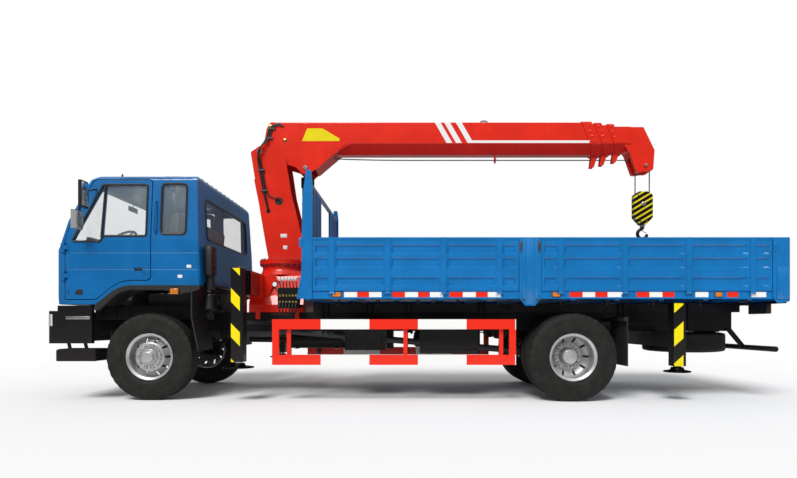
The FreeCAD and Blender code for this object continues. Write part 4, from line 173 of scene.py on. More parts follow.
class Finish(Formula):
    """One material."""

    def __init__(self, name):
        self.material = bpy.data.materials.new(name)
        self.material.use_nodes = True
        super().__init__(self.material.node_tree)
        self.tree.nodes.clear()

    def here(self):
        """The point in the piece's own coordinates."""
        return self.node("ShaderNodeTexCoord", {}, {}, "Object")

    def place(self, point):
        """How far a point is behind the front axle, to the left, and up."""
        x, y, z = [self.node("ShaderNodeSeparateXYZ", {}, {"Vector": point}, axis) for axis in "XYZ"]
        return x * -1 + FRONT_AXLE_X, y, z

    def noise(self, point, scale, detail=3, roughness=0.5):
        return self.node("ShaderNodeTexNoise", {}, {
            "Vector": point, "Scale": scale, "Detail": detail, "Roughness": roughness}, "Fac")

    def blend(self, factor, first, second):
        return self.node("ShaderNodeMix", {"data_type": "RGBA"}, {0: factor, 6: first, 7: second}, 2)

    def spread(self, value, low, high, to_low=0.0, to_high=1.0):
        """A smooth step from one value to another as the given one runs from low to high."""
        return self.node("ShaderNodeMapRange", {"interpolation_type": "SMOOTHSTEP"}, {
            "Value": value, "From Min": low, "From Max": high, "To Min": to_low, "To Max": to_high})

    def bump(self, height, strength, distance, normal=None):
        inputs = {"Height": height, "Strength": strength, "Distance": distance}
        if normal:
            inputs["Normal"] = normal
        return self.node("ShaderNodeBump", {}, inputs)

    def round_edges(self, radius):
        return self.node("ShaderNodeBevel", {"samples": 4}, {"Radius": radius})

    def shade(self, **inputs):
        """The Principled shader, wired to the output."""
        names = {key.replace("_", " "): value for key, value in inputs.items()}
        surface = self.node("ShaderNodeBsdfPrincipled", {}, names)
        self.node("ShaderNodeOutputMaterial", {}, {"Surface": surface})
        return self.material


print("formula classes ready")

# %% [markdown]
# ## Paint
# Truck paint is a hard gloss coat over colour. Up close it isn't flat: it has a faint orange
# peel, the sheet under it is a little wavy, road dust gathers low down, and the edges catch a
# softer light because no steel edge is sharp. The Bevel node rounds the edges in the shading
# alone, which suits solids from CAD.

# %% Paint
YELLOW, WHITE, BLACK = (0.92, 0.74, 0.0), (0.88, 0.88, 0.86), (0.004, 0.004, 0.005)
RED, CAB_BLUE, BED_BLUE = (0.84, 0.020, 0.004), (0.001, 0.140, 0.400), (0.002, 0.180, 0.500)
ROPE_GREY, EYE_GREY = (0.13, 0.13, 0.13), (0.30, 0.30, 0.31)
DUST = (0.20, 0.17, 0.13)
DUST_ENDS, DUST_FULL = 1.25, 0.3                # heights between which road dust thickens


def paint(name, colour, roughness=0.30, coat=0.6, dust=0.35, radius=0.004, marks=None, relief=None):
    """Gloss paint, dusty low down; marks draws bands on it and relief presses lines into it."""
    finish = Finish(name)
    point = finish.here()
    behind, y, z = finish.place(point)
    cloud = finish.noise(point, 3.0, 5, 0.6)
    shade = finish.blend(finish.spread(cloud, 0.35, 0.7), [0.86 * c for c in colour], colour)
    if marks:
        shade = marks(finish, behind, y, z, shade)
    low = finish.spread(z, DUST_ENDS, DUST_FULL)
    soiled = (finish.noise(point, 14.0, 6, 0.7) * low * dust).clipped()
    speckle = finish.spread(finish.noise(point, 160.0, 2), 0.66, 0.74) * low * 0.4 * dust
    base = finish.blend((soiled + speckle).clipped(), shade, DUST)
    wavy_sheet = finish.noise(point, 2.6, 2, 0.4)
    orange_peel = finish.noise(point, 260.0, 1)
    normal = finish.bump(wavy_sheet, 0.35, 0.02, finish.round_edges(radius))
    if relief:
        normal = finish.bump(relief(finish, y, z), 1.0, 0.004, normal)
    normal = finish.bump(orange_peel, 0.05, 0.002, normal)
    matt = soiled * 0.6 + finish.spread(cloud, 0.2, 0.8) * 0.08 + roughness
    return finish.shade(Base_Color=base, Roughness=matt, Specular_IOR_Level=0.2, Coat_Weight=coat,
                        Coat_Roughness=0.05, Normal=normal)


def bands(*stripes):
    """Marks made of masks and colours, each drawn over the ones before."""
    def draw(finish, behind, y, z, colour):
        for mask, ink in stripes:
            colour = finish.blend(mask(behind, y, z), colour, ink)
        return colour
    return draw


def between(value, low, high):
    return (value > low) * (value < high)


def within(value, *spans):
    """1 inside any of the spans."""
    masks = [between(value, low, high) for low, high in spans]
    return sum(masks[1:], masks[0])


print("road dust below", DUST_ENDS, "m")

# %% [markdown]
# ## Where the paint changes colour
# Bands and stripes are part of the paint, not pieces laid on it. Each one is a mask: a rule on
# the distance behind the front axle, the distance to the side and the height that is 1 where
# the second colour goes. Both flanks are marked at once, because y counts without its sign.

# %% Masks on the bed and the side guards
RAIL_WHITES = ((2.374, 2.528), (2.670, 2.818), (3.096, 3.250), (3.392, 3.546), (3.782, 3.936),
               (4.078, 4.232), (5.203, 5.351), (5.499, 5.665), (5.996, 6.150), (6.541, 6.695),
               (7.204, 7.381))
RAIL_REDS = ((2.528, 2.670), (2.942, 3.096), (3.250, 3.380), (3.625, 3.782), (3.936, 4.078),
             (5.049, 5.203), (5.351, 5.499), (5.842, 5.996), (6.150, 6.292), (6.920, 7.050))
RAIL_FACE, RAIL_OUT, GUARD_OUT = (1.242, 1.304), 1.19, 1.1395


def on_rail_face(y, z):
    return between(z, *RAIL_FACE) * (y.size() > RAIL_OUT)


def rail_whites(behind, y, z):
    return within(behind, *RAIL_WHITES) * on_rail_face(y, z)


def rail_reds(behind, y, z):
    return within(behind, *RAIL_REDS) * on_rail_face(y, z)


def under_the_bed(behind, y, z):
    """The bed's runners and cross-members, which are black."""
    return z < 1.205


def guard_rails(behind, y, z):
    """The guard's two rails and their uprights, but not the arms behind them."""
    return y.size() > GUARD_OUT


def guard_whites(behind, y, z):
    """Every second length of the side guard's two rails."""
    return ((behind - 1.51) % 1.16 > 0.58) * (y.size() > GUARD_OUT) * ((z - 0.7075).size() > 0.15)


print(len(RAIL_WHITES), "white and", len(RAIL_REDS), "red lengths on each rail")

# %% Masks on the crane
BOOM_FLANK, FLANK_FOOT = 0.165, 3.41            # the boom's upright side plates
SLASHES = (3.495, 3.575), (3.625, 3.705), (3.785, 3.865)


def front_jack_stripes(behind, y, z):
    """Yellow bands raked down the outer faces of the front jacks' tubes."""
    stripe = (z + behind * 1.04 + 0.267) % 0.42 < 0.165
    return stripe * (y.size() > 1.15) * between(behind, 1.02, 1.13)


def rear_jack_stripes(behind, y, z):
    """The same on the rear jacks, raked the other way."""
    stripe = (z - behind * 0.9 + 0.215) % 0.40 < 0.20
    return stripe * (y.size() > 1.15) * between(behind, 6.30, 6.41)


def jack_feet(behind, y, z):
    return z < 0.456


def beam_housing_ends(behind, y, z):
    """The ends of the stabiliser beam's housing are black."""
    return (behind < 1.33) * (y.size() > 0.60)


def boom_slashes(behind, y, z):
    """Three white slashes raked along the boom's side."""
    return within(behind + (z - 3.69) * 0.58, *SLASHES) * (y.size() > BOOM_FLANK) * (z > FLANK_FOOT)


def boom_line(behind, y, z):
    """The white line that runs back from the last slash."""
    return between(behind, 4.00, 5.62) * between(z, FLANK_FOOT, 3.445) * (y.size() > BOOM_FLANK)


def lifting_eye(behind, y, z):
    """The eye on the boom's back and the stretch of top plate it stands on are steel grey."""
    return between(behind, 4.0, 4.4) * (z > 3.6945)


def block_slashes(behind, y, z):
    """Yellow bands raked over the hook block's cheeks."""
    return ((z - behind * 0.6) % 0.078 < 0.026) * between(z, 2.31, 2.775)


def rope_falls(behind, y, z):
    return z > 2.775


print(len(SLASHES), "slashes on the boom")

# %% Masks on the cab and its lamps
def under_the_cab(behind, y, z):
    """The cab's floor and wheel arches, which are sprayed black."""
    return between(behind, -0.92, 0.66) * (y.size() < 1.02) * (z < 1.43)


def flank_creases(finish, y, z):
    """Height of the cab's skin: two pressed lines run along its flanks."""
    lines = [finish.spread((z - level).size(), 0.003, 0.013) for level in (1.785, 1.585)]
    flank = y.size() > 1.08
    return lines[0] * lines[1] * flank + (1 - flank)


def lower_mirrors(behind, y, z):
    return (z < 2.25) * (y.size() > 1.22)


def seats(behind, y, z):
    return between(behind, -0.31, 0.29) * (z > 1.585)


def front_ambers(behind, y, z):
    return (behind < 0) * (y.size() > 0.995)


def tail_reds(behind, y, z):
    return (behind > 5) * ((y.size() - 0.78).size() < 0.06)


def tail_ambers(behind, y, z):
    return (behind > 5) * (y.size() > 0.84)


print("masks ready")

# %% Paints
cab_paint = paint("cab_blue_paint", CAB_BLUE, dust=0.2, marks=bands((under_the_cab, BLACK)),
                  relief=flank_creases)
bed_paint = paint("bed_blue_paint", BED_BLUE, roughness=0.30, coat=1.0, dust=0.2)
rail_paint = paint("bed_rail_paint", BED_BLUE, roughness=0.36,
                   marks=bands((rail_whites, WHITE), (rail_reds, RED), (under_the_bed, BLACK)))
red_paint = paint("crane_red_paint", RED, roughness=0.28, dust=0.1)
base_paint = paint("crane_base_paint", RED, roughness=0.30, dust=0.15,
                   marks=bands((beam_housing_ends, BLACK)))
boom_paint = paint("boom_red_paint", RED, roughness=0.28, dust=0.1,
                   marks=bands((boom_slashes, WHITE), (boom_line, WHITE), (lifting_eye, EYE_GREY)))
black_paint = paint("chassis_black_paint", BLACK, roughness=0.45, coat=0.15, dust=0.10)
jack_paint = paint("jack_black_paint", BLACK, roughness=0.40, coat=0.15, dust=0.12,
                   marks=bands((front_jack_stripes, YELLOW), (rear_jack_stripes, YELLOW)))
guard_paint = paint("guard_paint", BLACK, roughness=0.40, coat=0.3, dust=0.08,
                    marks=bands((guard_rails, RED), (guard_whites, WHITE)))
hook_paint = paint("hook_block_paint", BLACK, roughness=0.40, coat=0.2, dust=0.0,
                   marks=bands((block_slashes, YELLOW), (rope_falls, ROPE_GREY)))
print("paints:", len([m for m in bpy.data.materials if m.name.endswith("paint")]))

# %% [markdown]
# ## Rubber, plastic, metal, cloth and glass
# Each of these is one short recipe: what colour it is, how rough, and what its surface does at
# the size of a grain. Steel and chrome are metallic; plastic has a leathery grain; tyre rubber
# is matt and browned a little by dust; glass is a thin clear film that mostly shows reflections.


# %% Plain surfaces
def grained(name, colour, roughness, grain, depth, metallic=0.0, coat=0.0, vary=0.25, radius=0.003,
            marks=None):
    """A surface with cloudy colour and a grain of the given scale and depth."""
    finish = Finish(name)
    point = finish.here()
    cloud = finish.noise(point, grain * 0.05, 5, 0.6)
    fine = finish.noise(point, grain, 3, 0.6)
    base = finish.blend(finish.spread(cloud, 0.3, 0.7), [(1 - vary) * c for c in colour], colour)
    if marks:
        base = marks(finish, *finish.place(point), base)
    normal = finish.bump(fine, 0.5, depth, finish.round_edges(radius))
    return finish.shade(Base_Color=base, Roughness=cloud * 0.2 + (roughness - 0.1), Metallic=metallic,
                        Coat_Weight=coat, Normal=normal)


def tyre_rubber():
    """Matt black rubber, a little browner in clouds where dust clings to it."""
    finish = Finish("tyre_rubber")
    point = finish.here()
    cloud = finish.noise(point, 9.0, 5, 0.65)
    clean, dusty = (0.006, 0.006, 0.005), (0.016, 0.015, 0.012)
    base = finish.blend(finish.spread(cloud, 0.35, 0.7), clean, dusty)
    fine = finish.noise(point, 420.0, 2)
    return finish.shade(Base_Color=base, Roughness=cloud * 0.15 + 0.62, Specular_IOR_Level=0.3,
                        Normal=finish.bump(fine, 0.25, 0.001))


def clear_glass(name, tint, alpha):
    """A thin film that shows the sky's reflection, with a faint haze in it."""
    finish = Finish(name)
    haze = finish.noise(finish.here(), 1.5, 1, 0.4)
    return finish.shade(Base_Color=tint, Alpha=finish.spread(haze, 0.3, 0.8, alpha, alpha + 0.03),
                        Roughness=haze * 0.02 + 0.03, Coat_Weight=0.6, IOR=1.5)


def lamp_lens(name, colour, marks=None):
    """Fluted lens: fine upright ribs under a glossy skin."""
    finish = Finish(name)
    point = finish.here()
    if marks:
        colour = marks(finish, *finish.place(point), colour)
    ribs = finish.node("ShaderNodeTexWave", {"bands_direction": "Y"},
                       {"Vector": point, "Scale": 22.0}, "Fac")
    base = finish.blend(ribs * 0.3, colour, (0.0, 0.0, 0.0))
    return finish.shade(Base_Color=base, Roughness=ribs * 0.1 + 0.08, Coat_Weight=0.8,
                        Normal=finish.bump(ribs, 0.4, 0.004))


print("surface recipes ready")

# %% The surfaces themselves
rubber = tyre_rubber()
rim_silver = grained("rim_silver", (0.62, 0.62, 0.62), 0.34, 90.0, 0.0006, metallic=0.65, coat=0.3)
steel = grained("bright_steel", (0.55, 0.55, 0.55), 0.32, 160.0, 0.0003, metallic=1.0, radius=0.001)
chrome = grained("chrome_plate", (0.80, 0.80, 0.82), 0.16, 60.0, 0.0001, metallic=1.0, vary=0.05)
castings = grained("cast_iron", (0.060, 0.060, 0.062), 0.55, 220.0, 0.002)
plastic = grained("black_plastic", (0.014, 0.014, 0.015), 0.50, 500.0, 0.0008)
mirror_shells = grained("mirror_shells", (0.012, 0.012, 0.013), 0.35, 500.0, 0.0005, coat=0.4,
                        marks=bands((lower_mirrors, (0.30, 0.31, 0.32))))
flap_rubber = grained("flap_rubber", (0.018, 0.018, 0.018), 0.72, 150.0, 0.0015)
hose_rubber = grained("hose_rubber", (0.012, 0.012, 0.013), 0.45, 600.0, 0.0006)
cab_trim = grained("cab_trim", (0.060, 0.062, 0.068), 0.70, 700.0, 0.0015,
                   marks=bands((seats, (0.16, 0.17, 0.20))))
jack_steel = grained("jack_steel", (0.70, 0.70, 0.72), 0.22, 60.0, 0.0001, metallic=0.9, vary=0.05,
                     marks=bands((jack_feet, BLACK)))
rope_steel = grained("rope_steel", (0.16, 0.15, 0.14), 0.45, 700.0, 0.0005, metallic=0.7)
brass = grained("brass", (0.55, 0.40, 0.13), 0.30, 160.0, 0.0003, metallic=1.0)
white_paint = paint("white_paint", WHITE, dust=0.1)
yellow_paint = paint("yellow_paint", YELLOW, dust=0.1)
window_glass = clear_glass("window_glass", (0.55, 0.66, 0.70), 0.11)
mirror_glass = grained("mirror_silver", (0.85, 0.87, 0.88), 0.12, 20.0, 0.00005, metallic=1.0,
                       vary=0.02)
AMBER, LAMP_RED, CLEAR = (0.90, 0.24, 0.01), (0.62, 0.008, 0.008), (0.80, 0.82, 0.84)
lamp_lenses = lamp_lens("lamp_lenses", CLEAR,
                        bands((tail_reds, LAMP_RED), (tail_ambers, AMBER), (front_ambers, AMBER)))
clear_lens = lamp_lens("clear_lens", CLEAR)
amber_lens = lamp_lens("amber_lens", AMBER)
print("materials:", len(bpy.data.materials))

# %% [markdown]
# ## Dressing the solids
# Most of the truck's own solids stay as they are and only change their finish. A table from
# finish to nodes is easier to check than a line for each.

# %% Finish of each node
DRESSED = {
    cab_paint: ["cab_shell", "door_left", "door_right"],
    bed_paint: ["bed_posts", "headboard", "tailgate", "side_gate_front_left", "side_gate_front_right",
                "side_gate_rear_left", "side_gate_rear_right"],
    rail_paint: ["bed_floor"],
    red_paint: ["crane_column", "boom_section_2", "boom_section_3", "boom_head"],
    base_paint: ["crane_base"],
    boom_paint: ["main_boom"],
    black_paint: ["chassis_frame", "leaf_springs", "axles", "knuckle_left", "knuckle_right",
                  "front_bumper", "crane_controls", "exhaust", "side_tanks", "lift_barrel",
                  "rear_underrun"],
    jack_paint: ["outrigger_beam_left", "outrigger_beam_right", "rear_outrigger_box"],
    guard_paint: ["side_guards"],
    hook_paint: ["hook_block"],
    castings: ["engine_block", "driveline", "winch"],
    plastic: ["cab_grille", "cab_fenders"],
    mirror_shells: ["mirror_left", "mirror_right"],
    flap_rubber: ["mud_flaps"],
    rubber: ["tyre_front_left", "tyre_front_right", "tyres_rear_left", "tyres_rear_right",
             "spare_wheel"],
    rim_silver: ["rim_front_left", "rim_front_right", "rims_rear_left", "rims_rear_right"],
    window_glass: ["cab_glass", "door_glass_left", "door_glass_right"],
    lamp_lenses: ["lamps"],
    cab_trim: ["cab_interior"],
    chrome: ["lift_rod"],
    jack_steel: ["outrigger_leg_front_left", "outrigger_leg_front_right", "outrigger_leg_rear_left",
                 "outrigger_leg_rear_right"],
}


def dress(node, finish):
    mesh = nodes[node].data
    mesh.materials.clear()
    mesh.materials.append(finish)


for finish, members in DRESSED.items():
    for node in members:
        dress(node, finish)
undressed = set(nodes) - {node for members in DRESSED.values() for node in members}
print("undressed nodes:", undressed or "none")

# %% [markdown]
# ## Tools for small parts
# Every added piece starts in one of three ways: a block with its edges rounded, a profile
# turned about an axis, or a tube along a line. All three write into a bmesh, so a piece can be
# made of many of them and still be one object with one finish.


# %% Blocks, turned parts and tubes
def round_off(shape, corners, rounding):
    """Bevel every edge that meets the given corners."""
    edges = list(dict.fromkeys(edge for corner in corners for edge in corner.link_edges))
    bmesh.ops.bevel(shape, geom=edges, offset=rounding, segments=2, profile=0.5, affect="EDGES",
                    clamp_overlap=True)


def add_block(shape, low, high, rounding=0.003):
    """A box between two corners with rounded edges."""
    low, high = (Vector(map(min, low, high)), Vector(map(max, low, high)))
    place = Matrix.Translation((low + high) / 2) @ Matrix.Diagonal((*(high - low), 1))
    round_off(shape, bmesh.ops.create_cube(shape, size=1, matrix=place)["verts"], rounding)


def spots(*places, side=1):
    """Points given as (behind, y, z) for the left side; side=-1 mirrors them to the right."""
    return [at(behind, side * y, z) for behind, y, z in places]


def frame_along(direction):
    """Two unit vectors square to a direction and to each other."""
    direction = Vector(direction).normalized()
    side = direction.orthogonal().normalized()
    return side, direction.cross(side)


def add_turned(shape, profile, start, direction, count=24):
    """A profile of (distance along, radius) turned about an axis from a start point."""
    start, direction = Vector(start), Vector(direction).normalized()
    side, up = frame_along(direction)
    rings = []
    for along, radius in profile:
        middle = start + direction * along
        if radius < 1e-6:
            rings.append([shape.verts.new(middle)])
            continue
        spokes = [side * math.cos(turn) + up * math.sin(turn)
                  for turn in (2 * math.pi * index / count for index in range(count))]
        rings.append([shape.verts.new(middle + spoke * radius) for spoke in spokes])
    for first, second in zip(rings, rings[1:]):
        for index in range(count):
            after = (index + 1) % count
            corners = [first[index % len(first)], first[after % len(first)],
                       second[after % len(second)], second[index % len(second)]]
            distinct = list(dict.fromkeys(corners))
            if len(distinct) > 2:
                shape.faces.new(distinct)
    for ring in (rings[0], rings[-1]):
        if len(ring) > 2:
            shape.faces.new(ring)


def plain_mesh(made):
    """The mesh that an object's curve or modifiers come to."""
    return bpy.data.meshes.new_from_object(made.evaluated_get(bpy.context.evaluated_depsgraph_get()))


def add_tube(shape, points, radius, smooth=3, count=10, closed=False):
    """A round tube along points joined by a smooth curve."""
    curve = bpy.data.curves.new("path", "CURVE")
    curve.dimensions, curve.bevel_depth = "3D", radius
    curve.bevel_resolution = max(1, count // 4)
    curve.use_fill_caps, curve.resolution_u = True, smooth
    line = curve.splines.new("NURBS")
    line.points.add(len(points) - 1)
    for dot, place in zip(line.points, points):
        dot.co = (*place, 1)
    line.order_u, line.use_endpoint_u, line.use_cyclic_u = 3, not closed, closed
    carrier = bpy.data.objects.new("path", curve)
    bpy.context.scene.collection.objects.link(carrier)
    shape.from_mesh(plain_mesh(carrier))
    bpy.data.objects.remove(carrier)


def put(name, shape, finish, body, angle=35):
    """Make a bmesh an object in one finish that rides on a body; edges past the angle are sharp."""
    bmesh.ops.remove_doubles(shape, verts=shape.verts, dist=1e-5)
    bmesh.ops.recalc_face_normals(shape, faces=shape.faces)
    mesh = bpy.data.meshes.new(name)
    shape.to_mesh(mesh)
    shape.free()
    mesh.shade_smooth()
    mesh.set_sharp_from_angle(angle=math.radians(angle))
    mesh.materials.append(finish)
    made = bpy.data.objects.new(name, mesh)
    bpy.context.scene.collection.objects.link(made)
    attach(made, body)
    return made


def on_both_sides(build):
    """Run a maker once for the left and once for the right."""
    build("left", 1)
    build("right", -1)


print("tools for small parts ready")

# %% [markdown]
# ## Tyres
# A truck tyre carries straight ribs round its tread with zigzag grooves between them, notched
# shoulders, and rings moulded on its sidewall. The whole tyre follows one rule, a profile that
# changes a little from step to step round the wheel, so it is written as that rule.

# %% Tyres
TREAD_STEPS = 108
tyre_low, tyre_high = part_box("tyre_front_left")
TYRE_HALF = (tyre_high.y - tyre_low.y) / 2
TYRE_RADIUS = (tyre_high.z - tyre_low.z) / 2


def tyre_profile(step):
    """(y, radius) round one half-section; every other step shifts the grooves and notches."""
    shift = 0.006 if step % 2 else -0.006
    notch = 0.010 if step % 3 == 0 else 0.0
    top, half = TYRE_RADIUS, TYRE_HALF
    groove = top - 0.013
    outer = [(0.105, 0.263), (0.113, 0.286), (0.120, 0.292), (half - 0.009, 0.325),
             (half - 0.006, 0.330), (half - 0.006, 0.338), (half - 0.002, 0.342), (half, 0.372),
             (half - 0.002, 0.405), (half - 0.007, 0.440), (half - 0.006, 0.446),
             (half - 0.009, 0.470), (half - 0.013 - notch, 0.490), (half - 0.019 - notch, 0.512),
             (half - 0.030, top - 0.004 - notch * 0.8), (half - 0.045, top - 0.001)]
    ribs = [(0.078 + shift, top), (0.074 + shift, groove), (0.066 + shift, groove),
            (0.062 + shift, top), (0.030 - shift, top), (0.026 - shift, groove),
            (0.018 - shift, groove), (0.014 - shift, top)]
    right = outer + ribs
    return right + [(-y, radius) for y, radius in right[::-1]]


def add_tyre(shape, middle, flat=False):
    """A tyre round a middle, upright on its tread or lying flat."""
    rings = []
    for step in range(TREAD_STEPS):
        angle = 2 * math.pi * step / TREAD_STEPS
        rings.append([])
        for y, radius in tyre_profile(step):
            ahead, up = radius * math.sin(angle), radius * math.cos(angle)
            offset = Vector((ahead, up, y) if flat else (ahead, y, up))
            rings[-1].append(shape.verts.new(middle + offset))
    for near, far in zip(rings, rings[1:] + rings[:1]):
        for k in range(len(near)):
            after = (k + 1) % len(near)
            shape.faces.new([near[k], near[after], far[after], far[k]])


TYRES = {"tyre_front_left": "front_left_wheel", "tyre_front_right": "front_right_wheel",
         "tyres_rear_left": "rear_left_wheels", "tyres_rear_right": "rear_right_wheels"}
TWIN_SPACING = 0.312
for node, body in TYRES.items():
    low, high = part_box(node)
    middle = (low + high) / 2
    shape = bmesh.new()
    for side in (-1, 1) if "rear" in node else (0,):
        add_tyre(shape, middle + Vector((0, side * TWIN_SPACING / 2, 0)))
    treaded = put(f"{node}_treaded", shape, rubber, body, angle=25)
    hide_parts(node)
low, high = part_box("spare_wheel")
shape = bmesh.new()
add_tyre(shape, (low + high) / 2, flat=True)
spare = put("spare_tyre_treaded", shape, rubber, "truck", angle=25)
print("tyre radius", round(TYRE_RADIUS, 3), "faces each", TREAD_STEPS * len(tyre_profile(0)))

# %% [markdown]
# ## Pieces that repeat
# Nuts round a hub, bolts along a rail and slats in a grille are all one small piece copied by a
# rule, which is what Geometry Nodes are for. Two trees do: one copies round a circle about the
# z axis, the other copies along a straight line. Both end in real mesh with its finish set.


# %% Geometry Nodes for rings and rows
class Growth(Formula):
    """A Geometry Nodes tree with named inputs that copies the host's mesh by a rule."""

    def __init__(self, name, inputs):
        super().__init__(bpy.data.node_groups.new(name, "GeometryNodeTree"))
        face = self.tree.interface
        for label, kind in [("Piece", "NodeSocketGeometry"), *inputs, ("Finish", "NodeSocketMaterial")]:
            face.new_socket(label, in_out="INPUT", socket_type=kind)
        face.new_socket("Grown", in_out="OUTPUT", socket_type="NodeSocketGeometry")
        self.entry = self.tree.nodes.new("NodeGroupInput")

    def given(self, label):
        return Term(self.tree, self.entry.outputs[label])

    def close(self, copies):
        solid = self.node("GeometryNodeRealizeInstances", {}, {"Geometry": copies})
        dressed = self.node("GeometryNodeSetMaterial", {}, {
            "Geometry": solid, "Material": self.given("Finish")})
        self.node("NodeGroupOutput", {}, {"Grown": dressed})

    def grow(self, unit, **values):
        """The rule applied to a unit mesh, as a plain mesh."""
        host = bpy.data.objects.new("host", unit)
        bpy.context.scene.collection.objects.link(host)
        modifier = host.modifiers.new("grow", "NODES")
        modifier.node_group = self.tree
        for item in self.tree.interface.items_tree:
            if item.in_out == "INPUT" and item.name in values:
                modifier[item.identifier] = values[item.name]
        made = plain_mesh(host)
        bpy.data.objects.remove(host)
        return made


ring = Growth("copies_round_a_circle", [("Count", "NodeSocketInt"), ("Radius", "NodeSocketFloat")])
circle = ring.node("GeometryNodeMeshCircle", {}, {
    "Vertices": ring.given("Count"), "Radius": ring.given("Radius")})
turn = ring.node("GeometryNodeInputIndex", {}, {}) * (2 * math.pi) / ring.given("Count")
facing = ring.node("FunctionNodeEulerToRotation", {}, {
    "Euler": ring.node("ShaderNodeCombineXYZ", {}, {"Z": turn})})
ring.close(ring.node("GeometryNodeInstanceOnPoints", {}, {
    "Points": circle, "Instance": ring.given("Piece"), "Rotation": facing}))

row = Growth("copies_along_a_line", [
    ("Count", "NodeSocketInt"), ("Start", "NodeSocketVector"), ("End", "NodeSocketVector")])
line = row.node("GeometryNodeMeshLine", {"mode": "END_POINTS"}, {
    "Count": row.given("Count"), "Start Location": row.given("Start"), "Offset": row.given("End")})
row.close(row.node("GeometryNodeInstanceOnPoints", {}, {
    "Points": line, "Instance": row.given("Piece")}))


def unit_mesh(build):
    """The small piece that a tree copies, built at the origin."""
    shape = bmesh.new()
    build(shape)
    bmesh.ops.recalc_face_normals(shape, faces=shape.faces)
    mesh = bpy.data.meshes.new("unit")
    shape.to_mesh(mesh)
    shape.free()
    return mesh


def set_down(name, mesh, finish, body, place=Matrix.Identity(4), angle=35):
    """Place a grown mesh on a body."""
    mesh.transform(place)
    shape = bmesh.new()
    shape.from_mesh(mesh)
    return put(name, shape, finish, body, angle)


def facing_along(direction, where):
    """A matrix that carries the z axis to a direction and the origin to a place."""
    return Matrix.Translation(where) @ Vector(direction).to_track_quat("Z", "Y").to_matrix().to_4x4()


def hex_nut(across, height):
    """Six-sided nut standing on the xy plane, with a chamfered top and a stud end."""
    nut, stud = ((0, 0.56), (0.85, 0.56), (1, 0.46)), ((0.9, 0.28), (1.35, 0.28), (1.4, 0.2))

    def build(shape):
        for profile, corners in ((nut, 6), (stud, 10)):
            sized = [(height * along, across * radius) for along, radius in profile]
            add_turned(shape, sized, (0, 0, 0), (0, 0, 1), corners)
    return build


def crown(name, count, radius, place, unit, finish, body):
    """Copies of a small piece round a circle."""
    set_down(name, ring.grow(unit, Count=count, Radius=radius, Finish=finish), finish, body, place)


print("growth trees:", ring.tree.name, row.tree.name)

# %% Wheel nuts
WHEEL_BODIES = {"rim_front_left": "front_left_wheel", "rim_front_right": "front_right_wheel",
                "rims_rear_left": "rear_left_wheels", "rims_rear_right": "rear_right_wheels"}
nut_unit = unit_mesh(hex_nut(0.034, 0.022))
for node, body in WHEEL_BODIES.items():
    low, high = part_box(node)
    side = 1 if "left" in node else -1
    reach, radius = (1.073, 0.130) if "front" in node else (0.946, 0.140)
    hub = Vector(((low.x + high.x) / 2, side * reach, (low.z + high.z) / 2))
    crown(f"{node}_nuts", 10, radius, facing_along((0, side, 0), hub), nut_unit, steel, body)
print("wheel nuts on", len(WHEEL_BODIES), "hubs")

# %% [markdown]
# ## Laying trim on sheet metal
# Seals, strips and labels follow the metal they are fixed to. They are drawn flat as an outline,
# then every point travels along a ray till it meets the surface.


# %% Outlines, slabs and surfaces
def rounded(corners, steps=5):
    """A closed outline of (a, b, radius) corners, each turned with a parabola."""
    line = []
    for index, (a, b, radius) in enumerate(corners):
        point = Vector((a, b))
        back = (Vector(corners[index - 1][:2]) - point).normalized()
        on = (Vector(corners[(index + 1) % len(corners)][:2]) - point).normalized()
        cut = radius / math.tan(back.angle(on) / 2)
        for step in range(steps + 1):
            t = step / steps
            line.append(point + back * cut * (1 - t) ** 2 + on * cut * t ** 2)
    return line


def add_slab(shape, outline, across, rounding=0.0):
    """A flat outline of points carried along a vector."""
    near = [shape.verts.new(Vector(corner)) for corner in outline]
    far = [shape.verts.new(Vector(corner) + Vector(across)) for corner in outline]
    shape.faces.new(near[::-1])
    shape.faces.new(far)
    for k in range(len(near)):
        after = (k + 1) % len(near)
        shape.faces.new([near[k], near[after], far[after], far[k]])
    if rounding:
        round_off(shape, near + far, rounding)


def skin_of(*names):
    """The surface of some nodes, ready for rays."""
    shape = bmesh.new()
    for name in names:
        shape.from_mesh(nodes[name].data)
    tree = BVHTree.FromBMesh(shape)
    shape.free()
    return tree


def laid_on(tree, points, direction, lift=0.0):
    """Points carried along a direction to a surface, then lifted off it."""
    direction = Vector(direction)
    return [tree.ray_cast(point, direction)[0] - direction * lift for point in points]


def from_side(side, line, tree, lift=0.0):
    """Points (behind, z) laid on a flank."""
    outside = [at(behind, side * CLEAR_OF_ALL, z) for behind, z in line]
    return laid_on(tree, outside, (0, -side, 0), lift)


CLEAR_OF_ALL = 1.7                              # rays start this far out from the middle
ABOVE_ROOF = 3.2
flank_skin = skin_of("cab_shell", "door_left", "door_right")
front_skin = skin_of("cab_shell", "cab_glass")
shell_skin = skin_of("cab_shell")
print("skins ready")

# %% [markdown]
# ## Cab trim
# Black rubber holds every window. The doors' seals ride on the doors, so they swing away with
# them; all the others stay on the cab.

# %% Window seals
DOOR_WINDOW = [(-0.897, 1.914, 0.02), (-0.549, 2.609, 0.045), (-0.011, 2.609, 0.035),
               (-0.011, 1.981, 0.03), (-0.521, 1.981, 0.02), (-0.563, 1.914, 0.02)]
SIDE_WINDOW = [(0.161, 2.001, 0.055), (0.161, 2.619, 0.055), (0.464, 2.619, 0.055),
               (0.464, 2.001, 0.055)]
WINDSCREEN = [(-1.019, 1.926, 0.07), (-0.949, 2.609, 0.08), (0.949, 2.609, 0.08), (1.019, 1.926, 0.07)]
REAR_WINDOW = [(-0.859, 1.981, 0.08), (-0.859, 2.489, 0.08), (0.859, 2.489, 0.08), (0.859, 1.981, 0.08)]
SEAL = 0.013


